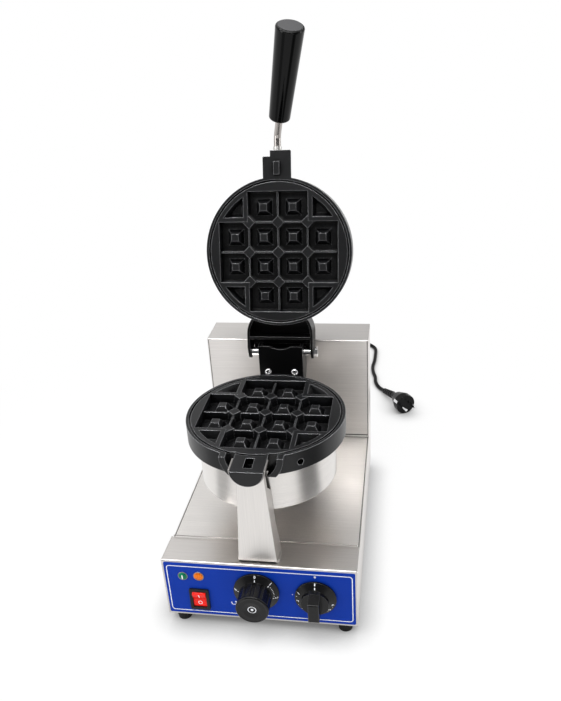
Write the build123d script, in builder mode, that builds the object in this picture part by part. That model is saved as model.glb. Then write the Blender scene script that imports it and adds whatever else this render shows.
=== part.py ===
from math import atan, cos, degrees, pi, radians, sin, sqrt, tan
import os

from build123d import *

os.makedirs("parts", exist_ok=True)

# Cooking plates, in millimetres. Depths run from the front panel towards the back.
axis_height = 255.0
plate_radius = 104.5
plate_setback = 19.5
plate_thickness = 18.0
skirt_height = 26.0
skirt_wall = 12.5
plate_gap = 0.6
rim_width = 3.7
groove_width = 2.8
groove_depth = 2.5
grid_margin = 20.5
cell_pitch = (plate_radius - grid_margin) / 2
cell_depth = 14.0
rib_top = 2.0
rib_recess = 2.5
wall_draft = 8.0
pyramid_valley = 19.0
pyramid_base = cell_pitch - pyramid_valley
pyramid_top = 10.0
pyramid_recess = 3.0
diamond_reach = 9.5
diamond_recess = 0.4
corner_rib = 7.0
corner_pocket_radius = plate_radius - skirt_wall
corner_pocket_depth = 10.0
corner_pocket_draft = 27.0
plate_centre = plate_setback + plate_radius

# Element covers on the backs of the plates
cover_height = 69.0
cover_wall = 1.0
cover_side_gap = 1.0
cover_radius = plate_radius - skirt_wall - cover_side_gap
cover_bolt_radius = 3.0
cover_bolt_head = 6.0
bolt_head_height = 3.5
fit_gap = 0.05
element_ring = cover_radius - 29.0
element_radius = 4.0
element_sweep = 320.0
element_leg = 16.0
element_leg_radius = 3.4
element_leg_inset = 5.0

# Rear hinge of the lid, whose casing lies on its back at rest
hinge_reach = 41.5
hinge_rise = 16.0
hinge_depth = plate_centre + plate_radius + hinge_reach
hinge_height = axis_height + hinge_rise
open_angle = 105.2
pin_radius = 4.0
pin_head_radius = pin_radius + 2.0
pin_head_thickness = 1.0
ear_outside = 48.0
ear_end_radius = pin_radius + 6.0
pad_height = 7.0
pad_half_width = 30.0
pad_screw_depth = 9.0
web_front = hinge_depth - 12.0
web_thickness = 4.0
web_half_width = 32.5
web_top = hinge_height + 13.0
web_dip_radius = 30.0
web_dip_depth = 4.5
flange_rear = hinge_depth + 30.0
flange_nose = 2.0
flange_brow = 14.0
flange_drop = 20.0
bracket_sheet = 3.5
bracket_front_half_width = ear_outside - 9.0
bracket_flare_end = plate_radius + 13.5
cross_wall_place = plate_radius + 17.5
bracket_rear = plate_radius + 33.0
bracket_screw_side = 18.0
skirt_clearance = 0.8
wall_lift = 0.5
hinge_nut_radius = pin_radius + 3.0
hinge_nut_height = 5.5
hinge_clip_height = 1.2
spacer_radius = pin_radius + 2.5
running_gap = 0.3
flip_screw_side = 19.5
flip_screw_drop = 12.0
screw_radius = 2.5
screw_head_radius = 5.4
screw_head_height = 3.0

# Shaft on which the head turns over, and its bearing
shaft_radius = 8.0
shaft_bore = 5.0
shaft_clearance = 0.05
shaft_hole_radius = shaft_radius + 1.5
shaft_flange_width = 2 * (web_half_width - web_thickness) - 3.0
shaft_flange_height = 44.0
shaft_flange_thickness = 5.0
bush_wall = 2.0
bush_length = 16.0
bush_margin = 0.8
bush_spacing = 24.0
housing_wall = 1.5
housing_foot_width = 60.0
housing_foot_height = axis_height - 37.0
housing_foot_thickness = 6.0
housing_headroom = 0.3
bearing_flange_width = 58.0
bearing_flange_top = 24.0
bearing_flange_bottom = 26.0
bearing_flange_sheet = 3.0
column_sheet = 2.0
column_foot = 12.0
collar_wall = 2.6

# Casing
body_width = 250.0
casing_bottom = 15.0
panel_top = 105.5
ridge_height = panel_top - 2.5
strip_depth = 48.5
pan_height = panel_top - 9.5
sheet = 1.2
bend_radius = 2.0
seam_gap = 0.2
tower_front = hinge_depth + 46.0
tower_depth = 62.0
tower_top = axis_height + shaft_radius + bush_wall + housing_wall + housing_headroom + sheet
body_depth = tower_front + tower_depth
shaft_end = body_depth - 12.0
pan_upstand = 3.2
pan_tuck = 8.5
pan_reveal = 0.9
foot_radius = 11.0
foot_side_inset = 17.0
foot_end_inset = 13.0
foot_height = casing_bottom
foot_taper = 2.0
foot_screw_radius = 2.0
foot_screw_head = 4.5
foot_screw_recess = 4.0
foot_screw_length = 10.0
vent_slot_length = 44.0
vent_slot_width = 3.0
vent_pitch = 8.0
vent_rows = 5
back_vent_height = tower_top - 78.0
back_vent_spacing = 110.0
bottom_vent_spacing = 110.0
panel_sheet = 0.8
panel_side_margin = 2.5
panel_edge_margin = 3.2
terminal_box = (40.0, 22.0, 16.0)
terminal_inset = 40.0
terminal_side = body_width / 2 - 55.0

# Front journal, its saddle and the strut
journal_radius = 20.0
journal_front = -11.0
lug_front = -16.0
lug_notch_width = 10.5
lug_notch_length = 8.0
lug_rounding = 1.5
peg_width = 9.4
peg_length = 18.6
peg_height = 5.0
peg_setback = 9.5
mortise_play = 0.6
mortise_depth = 9.0
boss_radius = 39.0
boss_front = plate_setback - 1.5
boss_groove_radius = boss_radius - 7.5
boss_groove_end = boss_front + 12.0
saddle_clearance = 0.3
saddle_wall = 1.6
saddle_front = -8.0
saddle_rear = boss_front - 2.0
strut_front = 7.0
strut_foot_width = 49.0
strut_top_width = 33.0
strut_foot_rear = 38.0
strut_rear = plate_centre - cover_radius - 1.5
strut_top_rear = boss_front - 1.5
strut_sheet = 2.0
strut_foot_gap = 2.0
strut_foot_top = panel_top + 9.5
strut_waist = axis_height - 105.0
strut_shoulder = axis_height - 55.0
strut_neck = axis_height - 41.0
strut_tab_front = 10.0
strut_tab_rear = 35.0
strut_tab_lip = 2.5
strut_tab_rounding = 4.0
strut_bolt_side = 12.0
strut_bolt_place = 24.0
strut_bolt_radius = 2.5
strut_bolt_head = 4.5
strut_bolt_length = 8.0
skirt_hole_radius = 4.2
skirt_hole_depth = 9.0
skirt_hole_angle = 33.0
skirt_hole_drop = 15.0

# Handle
rod_radius = 5.0
rod_height = 9.0
rod_bend = 37.6
rod_bend_radius = 16.0
rod_clock = 20.6
rod_socket = 16.0
rod_straight = 14.0
rod_free = 22.0
collar_radius = rod_radius + 1.0
collar_length = 5.5
rod_in_grip = 100.0
grip_length = 127.0
grip_end_rounding = 3.0
grip_cap_length = 2.0
grip_cap_proud = 0.4
grip_root_radius = 14.6
grip_tip_radius = 18.8

# Controls on the front panel
timer_place = (-3.0, 64.5)
thermostat_place = (body_width / 2 - 52.5, 61.0)
green_place = (26.5 - body_width / 2, 81.5)
orange_place = (47.5 - body_width / 2, 82.5)
switch_place = (45.5 - body_width / 2, 44.5)
control_shaft_radius = 3.0
timer_flange_radius = 29.5
timer_body_radius = 21.0
timer_reach = 34.0
thermostat_flange_radius = 26.5
thermostat_hub_radius = 17.5
thermostat_reach = 30.0
knob_gap = 1.0
knob_rim = 2.0
knob_skirt_height = 7.0
knob_flutes = 12
flute_radius = 3.2
flute_depth = 2.0
dish_radius = 12.0
dish_depth = 1.2
pointer_width = 14.0
pointer_length = 2 * thermostat_hub_radius
pointer_front_length = 28.0
hub_height = 14.0
control_shaft_end = 14.0
control_hole_radius = 5.0
timer_box = (48.0, 34.0, 50.0)
thermostat_box = (42.0, 26.0, 42.0)
rocker_width = 17.5
rocker_height = 25.2
rocker_back_depth = 7.0
rocker_pin_radius = 2.0
rocker_pin_length = 1.5
rocker_bay_depth = 14.0
rocker_facet_angle = 22.0
rocker_pivot_depth = 1.0
rocker_facet_depth = 2.5
rocker_play = 0.35
switch_rim_height = 2.5
switch_body_width = rocker_width + 3.5
switch_body_height = rocker_height + 3.8
switch_body_depth = 24.0
switch_width = switch_body_width + 5.0
switch_height = switch_body_height + 5.0
green_radius = 5.7
orange_radius = 6.2
lamp_dome = 2.6
lamp_rim = 0.6
lamp_body_radius = 4.5
lamp_body_length = 22.0

# Supply cord, which lies on the table behind the casing
cord_diameter = 7.4
cord_lift = 0.2
gland_side = 56.0
gland_height = 30.0
gland_flange_radius = 9.0
gland_flange_length = 4.0
gland_length = 36.0
gland_root_radius = 7.5
gland_tip_radius = cord_diameter / 2 + 1.3
gland_hole_radius = 6.5
gland_inside = 8.0
coil_centre = (10.0, 527.4)
coil_inner_radius = 37.0
coil_gap = 0.6
coil_ease = 1.0
coil_samples = 1500
relief_length = 55.0
relief_root_radius = 7.5
relief_tip_radius = cord_diameter / 2 + 0.9
plug_turn = -60.0
plug_radius = 19.0
plug_face_length = 13.0
plug_back_length = 19.0
plug_back_radius = 12.0
plug_pin_radius = 2.4
plug_pin_length = 19.0
plug_pin_socket = 8.0
plug_pin_spacing = 19.0

# The origin is under the middle of everything but the cord
front_reach = timer_reach
rear_reach = gland_length
panel_y = (front_reach - body_depth - rear_reach) / 2


def depth(distance):
    """The y of a place that lies so far behind the front panel."""
    return panel_y + distance


half_width = body_width / 2
hinge = Vector(0, depth(hinge_depth), hinge_height)
lower_face = Plane((0, depth(plate_centre), axis_height - plate_gap / 2), (-1, 0, 0), (0, 0, -1))


def open_lid(x, y, z):
    """Where a point of the closed lid goes when the lid is open."""
    back = y - hinge.Y
    up = z - hinge.Z
    turn = radians(open_angle)
    return Vector(x, hinge.Y + back * cos(turn) + up * sin(turn), hinge.Z - back * sin(turn) + up * cos(turn))


lid_up = Vector(0, sin(radians(open_angle)), cos(radians(open_angle)))
upper_face = Plane(open_lid(0, depth(plate_centre), axis_height + plate_gap / 2), (1, 0, 0), lid_up)


def local_plane(face, at, x_dir, z_dir):
    """A plane given in the axes of a plate's face."""
    origin = face.from_local_coords(Vector(*at))
    to_axes = face.from_local_coords
    base = to_axes(Vector(0, 0, 0))
    return Plane(origin, to_axes(Vector(*x_dir)) - base, to_axes(Vector(*z_dir)) - base)


def front_end(face, y):
    """A plane across the journal, whose sketch y points out of the casting."""
    return local_plane(face, (0, y, 0), (1, 0, 0), (0, 1, 0))


def back_of(face, height):
    """A plane at a height behind a plate's face, looking at the face."""
    return local_plane(face, (0, 0, height), (1, 0, 0), (0, 0, -1))


journal_end = journal_front - plate_centre
lug_end = lug_front - plate_centre
boss_start = boss_front - plate_centre
pad_inside = cover_radius + 1.5
pad_screw_offset = (pad_inside + plate_radius) / 2
pad_screw_places = [(-bracket_screw_side, pad_screw_offset), (bracket_screw_side, pad_screw_offset)]
cross_reach = 2 * cell_pitch
cells = [
    ((column - 1.5) * cell_pitch, (row - 1.5) * cell_pitch)
    for column in range(4)
    for row in range(4)
    if column in (1, 2) or row in (1, 2)
]


def waffle_plate(face, is_lower):
    """A cast cooking plate, made in the axes of its own face."""
    pyramid_height = cell_depth - pyramid_recess
    rib_height = cell_depth - rib_recess
    rib_base = rib_top + 2 * rib_height * tan(radians(wall_draft))
    diamond_height = cell_depth - diamond_recess
    diamond_side = (diamond_reach + diamond_height * tan(radians(wall_draft))) * sqrt(2)
    pocket_corner = cell_pitch + corner_rib
    pocket_side = corner_pocket_radius
    with BuildPart() as plate:
        with BuildSketch(face):
            Circle(plate_radius)
        extrude(amount=plate_thickness)
        with BuildSketch(face.offset(plate_thickness)):
            Circle(plate_radius)
            Circle(plate_radius - skirt_wall, mode=Mode.SUBTRACT)
        extrude(amount=skirt_height - plate_thickness)
        with BuildSketch(face.offset(skirt_height)):
            Circle(plate_radius)
            Circle(pad_inside, mode=Mode.SUBTRACT)
            with Locations((0, plate_radius)):
                Rectangle(2 * pad_half_width, plate_radius, mode=Mode.INTERSECT)
        extrude(amount=pad_height)
        if is_lower:
            with BuildSketch(front_end(face, boss_start)):
                Circle(boss_radius)
                Rectangle(
                    2 * boss_radius, skirt_height, align=(Align.CENTER, Align.MAX), mode=Mode.INTERSECT
                )
            extrude(amount=plate_radius / 2)
            with BuildSketch(front_end(face, boss_start)):
                Circle(boss_groove_radius)
            extrude(amount=boss_groove_end - boss_front, mode=Mode.SUBTRACT)
        end = journal_end if is_lower else lug_end
        with BuildSketch(front_end(face, end)):
            Circle(journal_radius)
            Rectangle(
                2 * journal_radius, journal_radius, align=(Align.CENTER, Align.MAX), mode=Mode.INTERSECT
            )
        extrude(amount=plate_radius / 2 + boss_start - end)
        if not is_lower:
            with BuildSketch(front_end(face, end)):
                with Locations((-journal_radius, 0)):
                    Rectangle(2 * lug_notch_width, 3 * journal_radius)
            extrude(amount=lug_notch_length, mode=Mode.SUBTRACT)
            rims = plate.edges().filter_by(GeomType.CIRCLE)
            fillet(rims.filter_by(lambda edge: edge.radius == journal_radius), lug_rounding)
        with BuildSketch(face.offset(plate_thickness)):
            Circle(plate_radius - skirt_wall)
        extrude(amount=journal_radius, mode=Mode.SUBTRACT)
        with BuildSketch(face):
            Circle(plate_radius - rim_width)
            Circle(plate_radius - rim_width - groove_width, mode=Mode.SUBTRACT)
        extrude(amount=groove_depth, mode=Mode.SUBTRACT)
        with BuildSketch(face):
            Rectangle(2 * cross_reach + rib_top, cross_reach + rib_top)
            Rectangle(cross_reach + rib_top, 2 * cross_reach + rib_top)
        extrude(amount=cell_depth, taper=wall_draft, mode=Mode.SUBTRACT)
        with BuildSketch(face):
            with GridLocations(2 * pocket_corner + pocket_side, 2 * pocket_corner + pocket_side, 2, 2):
                Rectangle(pocket_side, pocket_side)
            Circle(corner_pocket_radius, mode=Mode.INTERSECT)
        extrude(amount=corner_pocket_depth, taper=corner_pocket_draft, mode=Mode.SUBTRACT)
        with BuildSketch(back_of(face, cell_depth)):
            with Locations(*cells):
                Rectangle(pyramid_base, pyramid_base)
        extrude(amount=pyramid_height, taper=degrees(atan((pyramid_base - pyramid_top) / 2 / pyramid_height)))
        with BuildSketch(back_of(face, cell_depth)):
            Rectangle(2 * cross_reach + rib_top, rib_base)
            Rectangle(rib_base, 2 * cross_reach + rib_top)
            with Locations((0, -cell_pitch), (0, cell_pitch)):
                Rectangle(cross_reach + rib_top, rib_base)
            with Locations((-cell_pitch, 0), (cell_pitch, 0)):
                Rectangle(rib_base, cross_reach + rib_top)
        extrude(amount=rib_height, taper=wall_draft)
        with BuildSketch(back_of(face, cell_depth)):
            with GridLocations(cell_pitch, cell_pitch, 3, 3):
                Rectangle(diamond_side, diamond_side, rotation=45)
        extrude(amount=diamond_height, taper=wall_draft)
        if is_lower:
            with BuildSketch(face):
                with Locations((0, journal_end + peg_setback + peg_length / 2)):
                    Rectangle(peg_width + 2 * mortise_play, peg_length + 2 * mortise_play)
            extrude(amount=mortise_depth, mode=Mode.SUBTRACT)
            hole_turn = radians(skirt_hole_angle)
            hole_out = (-sin(hole_turn), -cos(hole_turn), 0)
            hole_at = (plate_radius * hole_out[0], plate_radius * hole_out[1], skirt_hole_drop)
            with BuildSketch(local_plane(face, hole_at, (0, 0, 1), hole_out)):
                Circle(skirt_hole_radius)
            extrude(amount=-skirt_hole_depth, mode=Mode.SUBTRACT)
        else:
            with BuildSketch(back_of(face, 0)):
                with Locations((0, -(journal_end + peg_setback + peg_length / 2))):
                    Rectangle(peg_width, peg_length)
            extrude(amount=peg_height, taper=wall_draft)
            with BuildSketch(front_end(face, lug_end)):
                with Locations((0, -rod_height)):
                    Circle(rod_radius + fit_gap)
            extrude(amount=rod_socket, mode=Mode.SUBTRACT)
        with BuildSketch(face.offset(skirt_height + pad_height)):
            with Locations(*pad_screw_places):
                Circle(screw_radius + fit_gap)
        extrude(amount=-pad_screw_depth, mode=Mode.SUBTRACT)
    return plate


lower_plate = waffle_plate(lower_face, True)
lower_plate.part.label = "lower_plate"
export_step(lower_plate.part, "parts/lower_plate.step")

upper_plate = waffle_plate(upper_face, False)
upper_plate.part.label = "upper_plate"
export_step(upper_plate.part, "parts/upper_plate.step")


def element_cover(face):
    """The stainless cup over the back of a plate."""
    with BuildPart() as cover:
        with BuildSketch(face.offset(plate_thickness)):
            Circle(cover_radius)
        extrude(amount=cover_height)
        with BuildSketch(face.offset(plate_thickness)):
            Circle(cover_radius - cover_wall)
        extrude(amount=cover_height - cover_wall, mode=Mode.SUBTRACT)
        with BuildSketch(face.offset(plate_thickness)):
            Circle(cover_bolt_radius + fit_gap)
        extrude(amount=cover_height, mode=Mode.SUBTRACT)
    return cover


def cover_bolt(face):
    """The bolt that holds a cover, from its seat on the casting to its head."""
    with BuildPart() as bolt:
        with BuildSketch(face.offset(plate_thickness)):
            Circle(cover_bolt_radius)
        extrude(amount=cover_height)
        with BuildSketch(face.offset(plate_thickness + cover_height)):
            RegularPolygon(cover_bolt_head, 6)
        extrude(amount=bolt_head_height)
    return bolt


def heating_element(face):
    """A tubular ring on the back of a plate, with an upright leg near each end."""
    ring_height = plate_thickness + element_radius
    half_gap = radians((360 - element_sweep) / 2)
    start = pi / 2 + half_gap
    leg_turn = half_gap + element_leg_inset / element_ring
    leg_places = [(side * element_ring * sin(leg_turn), element_ring * cos(leg_turn)) for side in (-1, 1)]
    ring_start = (element_ring * cos(start), element_ring * sin(start), ring_height)
    with BuildPart() as element:
        with BuildSketch(
            local_plane(face, ring_start, (cos(start), sin(start), 0), (-sin(start), cos(start), 0))
        ):
            Circle(element_radius)
        revolve(axis=Axis(face.origin, face.z_dir), revolution_arc=element_sweep)
        with BuildSketch(face.offset(ring_height)):
            with Locations(*leg_places):
                Circle(element_leg_radius)
        extrude(amount=element_leg)
    return element


def pad_screws(face, sheet_thickness):
    """The two button screws that hold a bracket on the rear pad of a plate."""
    seat = skirt_height + pad_height + sheet_thickness
    with BuildPart() as screws:
        with BuildSketch(face.offset(seat)):
            with Locations(*pad_screw_places):
                Circle(screw_head_radius)
        extrude(amount=screw_head_height)
        head_top = face.offset(seat + screw_head_height).origin
        fillet(screws.edges().sort_by_distance(head_top)[:2], screw_head_height / 2)
        with BuildSketch(face.offset(seat)):
            with Locations(*pad_screw_places):
                Circle(screw_radius)
        extrude(amount=-(sheet_thickness + pad_screw_depth))
    return screws


lower_cover = element_cover(lower_face)
lower_cover.part.label = "lower_cover"
export_step(lower_cover.part, "parts/lower_cover.step")

upper_cover = element_cover(upper_face)
upper_cover.part.label = "upper_cover"
export_step(upper_cover.part, "parts/upper_cover.step")

lower_cover_bolt = cover_bolt(lower_face)
lower_cover_bolt.part.label = "lower_cover_bolt"
export_step(lower_cover_bolt.part, "parts/lower_cover_bolt.step")

upper_cover_bolt = cover_bolt(upper_face)
upper_cover_bolt.part.label = "upper_cover_bolt"
export_step(upper_cover_bolt.part, "parts/upper_cover_bolt.step")

lower_element = heating_element(lower_face)
lower_element.part.label = "lower_element"
export_step(lower_element.part, "parts/lower_element.step")

upper_element = heating_element(upper_face)
upper_element.part.label = "upper_element"
export_step(upper_element.part, "parts/upper_element.step")

lower_bracket_screws = pad_screws(lower_face, web_thickness)
lower_bracket_screws.part.label = "lower_bracket_screws"
export_step(lower_bracket_screws.part, "parts/lower_bracket_screws.step")

upper_bracket_screws = pad_screws(upper_face, bracket_sheet)
upper_bracket_screws.part.label = "upper_bracket_screws"
export_step(upper_bracket_screws.part, "parts/upper_bracket_screws.step")


def across(y):
    """An upright plane across the object at a depth behind the panel, seen from the front."""
    return Plane((0, depth(y), 0), (1, 0, 0), (0, -1, 0))


def beside(x):
    """An upright plane along the object at a distance from its middle, with depths as sketch x."""
    return Plane((x, panel_y, 0), (0, 1, 0), (1, 0, 0))


def level(z):
    """A level plane whose sketch y is the depth behind the panel."""
    return Plane((0, panel_y, z), (1, 0, 0), (0, 0, 1))


# Bracket under the lower plate, which carries the hinge pins and the shaft
tongue_top = axis_height - plate_gap / 2 - skirt_height - pad_height
tongue_bottom = tongue_top - web_thickness
tongue_front = plate_centre + pad_inside + 1
web_rear = web_front + web_thickness
flip_screw_places = [(side * flip_screw_side, axis_height - flip_screw_drop) for side in (-1, 1)]
with BuildPart() as lower_bracket:
    with BuildSketch(across(web_rear)):
        with Locations((0, tongue_bottom)):
            Rectangle(2 * web_half_width, web_top - tongue_bottom, align=(Align.CENTER, Align.MIN))
        with Locations((0, web_top - web_dip_depth + web_dip_radius)):
            Circle(web_dip_radius, mode=Mode.SUBTRACT)
        with Locations(*flip_screw_places):
            Circle(screw_radius + fit_gap, mode=Mode.SUBTRACT)
    extrude(amount=web_thickness)
    with BuildSketch(level(tongue_bottom)):
        with Locations((0, tongue_front)):
            Rectangle(2 * pad_half_width, web_rear - tongue_front, align=(Align.CENTER, Align.MIN))
        with Locations(*[(x, plate_centre + y) for x, y in pad_screw_places]):
            Circle(screw_radius + fit_gap, mode=Mode.SUBTRACT)
    extrude(amount=web_thickness)
    for inner_side in (-web_half_width, web_half_width - web_thickness):
        with BuildSketch(beside(inner_side)):
            with BuildLine():
                Polyline(
                    (web_front, tongue_bottom),
                    (web_front, web_top),
                    (hinge_depth + flange_nose, web_top),
                    (hinge_depth + flange_brow, hinge_height),
                    (flange_rear, axis_height + shaft_radius),
                    (flange_rear, axis_height - flange_drop),
                    (hinge_depth + flange_brow, tongue_bottom),
                    close=True,
                )
            make_face()
            with Locations((hinge_depth, hinge_height)):
                Circle(pin_radius + fit_gap, mode=Mode.SUBTRACT)
        extrude(amount=web_thickness)
lower_bracket.part.label = "lower_bracket"
export_step(lower_bracket.part, "parts/lower_bracket.step")

# Bracket of the lid: a web on the pad, walls that flare round the skirt, and two ears
hinge_back = hinge_depth - plate_centre
hinge_up = hinge_height - axis_height - plate_gap / 2
web_underside = skirt_height + pad_height
flare_depth = bracket_flare_end - tongue_front + plate_centre
flare_step = ear_outside - bracket_front_half_width
flare_radius = (flare_depth**2 + flare_step**2) / (2 * flare_step)
flare_centre = ear_outside - flare_radius
straight_depth = bracket_rear - bracket_flare_end
with BuildPart() as upper_bracket:
    with BuildSketch(upper_face.offset(web_underside)):
        with Locations((-flare_centre, bracket_flare_end), (flare_centre, bracket_flare_end)):
            Circle(flare_radius)
        with Locations((0, bracket_flare_end)):
            Rectangle(
                2 * ear_outside, flare_depth, align=(Align.CENTER, Align.MAX), mode=Mode.INTERSECT
            )
            Rectangle(2 * ear_outside, straight_depth, align=(Align.CENTER, Align.MIN))
        with Locations(*pad_screw_places):
            Circle(screw_radius + fit_gap, mode=Mode.SUBTRACT)
    extrude(amount=bracket_sheet)
    with BuildSketch(upper_face.offset(wall_lift)):
        with Locations((-flare_centre, bracket_flare_end), (flare_centre, bracket_flare_end)):
            Circle(flare_radius)
        with Locations((0, bracket_flare_end)):
            Rectangle(
                2 * ear_outside, flare_depth, align=(Align.CENTER, Align.MAX), mode=Mode.INTERSECT
            )
            Rectangle(2 * ear_outside, straight_depth, align=(Align.CENTER, Align.MIN))
        with Locations((-flare_centre, bracket_flare_end), (flare_centre, bracket_flare_end)):
            Circle(flare_radius - bracket_sheet, mode=Mode.SUBTRACT)
        with Locations((0, bracket_flare_end)):
            Rectangle(
                2 * (ear_outside - bracket_sheet),
                straight_depth,
                align=(Align.CENTER, Align.MIN),
                mode=Mode.SUBTRACT,
            )
        with Locations((0, cross_wall_place)):
            Rectangle(2 * ear_outside - bracket_sheet, bracket_sheet, align=(Align.CENTER, Align.MIN))
        Circle(plate_radius + skirt_clearance, mode=Mode.SUBTRACT)
    extrude(amount=web_underside - wall_lift)
    wall_middle = (wall_lift + web_underside + bracket_sheet) / 2
    for inner_side in (-ear_outside, ear_outside - bracket_sheet):
        with BuildSketch(local_plane(upper_face, (inner_side, 0, 0), (0, 1, 0), (1, 0, 0))):
            with Locations(((bracket_flare_end + bracket_rear) / 2, wall_middle)):
                Rectangle(straight_depth, 2 * (wall_middle - wall_lift))
            with Locations((hinge_back, hinge_up)):
                Circle(ear_end_radius)
            make_hull()
            with Locations((hinge_back, hinge_up)):
                Circle(pin_radius + fit_gap, mode=Mode.SUBTRACT)
        extrude(amount=bracket_sheet)
upper_bracket.part.label = "upper_bracket"
export_step(upper_bracket.part, "parts/upper_bracket.step")


def hinge_side(side, distance):
    """A plane across the hinge's axis on one side, at a distance from the middle."""
    return Plane((side * distance, depth(hinge_depth), hinge_height), (0, side, 0), (side, 0, 0))


# Hinge pins with a flat head inside the lower bracket, their spacers, and a clip and a nut outside
flange_inside = web_half_width - web_thickness
nut_start = ear_outside + running_gap
pin_fittings = ((-1, hinge_clip_height), (1, hinge_nut_height))
with BuildPart() as hinge_pins:
    for side, fitting_height in pin_fittings:
        with BuildSketch(hinge_side(side, flange_inside)):
            Circle(pin_head_radius)
        extrude(amount=-pin_head_thickness)
        with BuildSketch(hinge_side(side, flange_inside)):
            Circle(pin_radius)
        extrude(amount=nut_start + fitting_height - flange_inside)
hinge_pins.part.label = "hinge_pins"
export_step(hinge_pins.part, "parts/hinge_pins.step")

with BuildPart() as hinge_spacers:
    for side in (-1, 1):
        with BuildSketch(hinge_side(side, web_half_width)):
            Circle(spacer_radius)
            Circle(pin_radius + fit_gap, mode=Mode.SUBTRACT)
        extrude(amount=ear_outside - bracket_sheet - running_gap - web_half_width)
hinge_spacers.part.label = "hinge_spacers"
export_step(hinge_spacers.part, "parts/hinge_spacers.step")

with BuildPart() as hinge_nuts:
    for side, fitting_height in pin_fittings:
        with BuildSketch(hinge_side(side, nut_start)):
            if side == 1:
                RegularPolygon(hinge_nut_radius, 6)
            else:
                Circle(pin_head_radius)
            Circle(pin_radius + fit_gap, mode=Mode.SUBTRACT)
        extrude(amount=fitting_height)
hinge_nuts.part.label = "hinge_nuts"
export_step(hinge_nuts.part, "parts/hinge_nuts.step")

# Hollow shaft on which the cooking head turns over, with its flange, screws and stop
with BuildPart() as shaft_flange:
    with BuildSketch(across(web_rear)):
        with Locations((0, axis_height)):
            Rectangle(shaft_flange_width, shaft_flange_height)
            Circle(shaft_radius + fit_gap, mode=Mode.SUBTRACT)
        with Locations(*flip_screw_places):
            Circle(screw_radius + fit_gap, mode=Mode.SUBTRACT)
    extrude(amount=-shaft_flange_thickness)
shaft_flange.part.label = "shaft_flange"
export_step(shaft_flange.part, "parts/shaft_flange.step")

with BuildPart() as flip_screws:
    with BuildSketch(across(web_front)):
        with Locations(*flip_screw_places):
            Circle(screw_head_radius)
    extrude(amount=screw_head_height)
    fillet(flip_screws.edges().group_by(Axis.Y)[0], screw_head_height / 2)
    with BuildSketch(across(web_front)):
        with Locations(*flip_screw_places):
            Circle(screw_radius)
    extrude(amount=-(web_thickness + shaft_flange_thickness))
flip_screws.part.label = "flip_screws"
export_step(flip_screws.part, "parts/flip_screws.step")

with BuildPart() as shaft:
    with BuildSketch(across(web_rear)):
        with Locations((0, axis_height)):
            Circle(shaft_radius)
            Circle(shaft_bore, mode=Mode.SUBTRACT)
    extrude(amount=-(shaft_end - web_rear))
shaft.part.label = "shaft"
export_step(shaft.part, "parts/shaft.step")

bush_radius = shaft_radius + bush_wall
housing_radius = bush_radius + housing_wall
bush_front = tower_front + sheet + bush_margin
rear_bush_front = bush_front + bush_spacing
housing_rear = rear_bush_front + bush_length
with BuildPart() as shaft_bushes:
    for start in (bush_front, rear_bush_front):
        with BuildSketch(across(start)):
            with Locations((0, axis_height)):
                Circle(bush_radius)
                Circle(shaft_radius + shaft_clearance, mode=Mode.SUBTRACT)
        extrude(amount=-bush_length)
shaft_bushes.part.label = "shaft_bushes"
export_step(shaft_bushes.part, "parts/shaft_bushes.step")

with BuildPart() as bearing_housing:
    with BuildSketch(across(bush_front)):
        with Locations((0, axis_height)):
            Circle(housing_radius)
            Rectangle(
                2 * shaft_radius, axis_height - housing_foot_height, align=(Align.CENTER, Align.MAX)
            )
        with Locations((0, housing_foot_height)):
            Rectangle(housing_foot_width, housing_foot_thickness, align=(Align.CENTER, Align.MIN))
        with Locations((0, axis_height)):
            Circle(bush_radius + fit_gap, mode=Mode.SUBTRACT)
    extrude(amount=bush_front - housing_rear)
bearing_housing.part.label = "bearing_housing"
export_step(bearing_housing.part, "parts/bearing_housing.step")

with BuildPart() as bearing_flange:
    with BuildSketch(across(tower_front)):
        with Locations((0, axis_height + (bearing_flange_top - bearing_flange_bottom) / 2)):
            RectangleRounded(
                bearing_flange_width, bearing_flange_top + bearing_flange_bottom, 2 * bearing_flange_sheet
            )
        with Locations((0, axis_height)):
            Circle(shaft_hole_radius, mode=Mode.SUBTRACT)
    extrude(amount=bearing_flange_sheet)
bearing_flange.part.label = "bearing_flange"
export_step(bearing_flange.part, "parts/bearing_flange.step")

with BuildPart() as stop_collar:
    with BuildSketch(across(housing_rear + running_gap)):
        with Locations((0, axis_height)):
            Circle(shaft_radius + collar_wall)
            Circle(shaft_radius + fit_gap, mode=Mode.SUBTRACT)
    extrude(amount=-(shaft_end - housing_rear - 2 * running_gap) / 2)
stop_collar.part.label = "stop_collar"
export_step(stop_collar.part, "parts/stop_collar.step")

# Steel column that carries the bearing inside the tower
with BuildPart() as tower_frame:
    with BuildSketch(across(bush_front)):
        with Locations((0, casing_bottom + sheet)):
            Rectangle(
                housing_foot_width,
                housing_foot_height - casing_bottom - sheet,
                align=(Align.CENTER, Align.MIN),
            )
            Rectangle(
                housing_foot_width - 2 * column_sheet,
                housing_foot_height - casing_bottom - sheet - column_sheet,
                align=(Align.CENTER, Align.MIN),
                mode=Mode.SUBTRACT,
            )
        with Locations(
            (-(housing_foot_width + column_foot) / 2, casing_bottom + sheet),
            ((housing_foot_width + column_foot) / 2, casing_bottom + sheet),
        ):
            Rectangle(column_foot, column_sheet, align=(Align.CENTER, Align.MIN))
    extrude(amount=bush_front - housing_rear)
tower_frame.part.label = "tower_frame"
export_step(tower_frame.part, "parts/tower_frame.step")


# Sheet metal casing
def strip_top(distance):
    """The height of the strip above the panel, which falls a little towards the back."""
    return panel_top - (panel_top - ridge_height) * distance / strip_depth


inner_half = half_width - sheet - seam_gap / 2
strip_normal = Vector(0, (panel_top - ridge_height) / strip_depth, 1)


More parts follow.
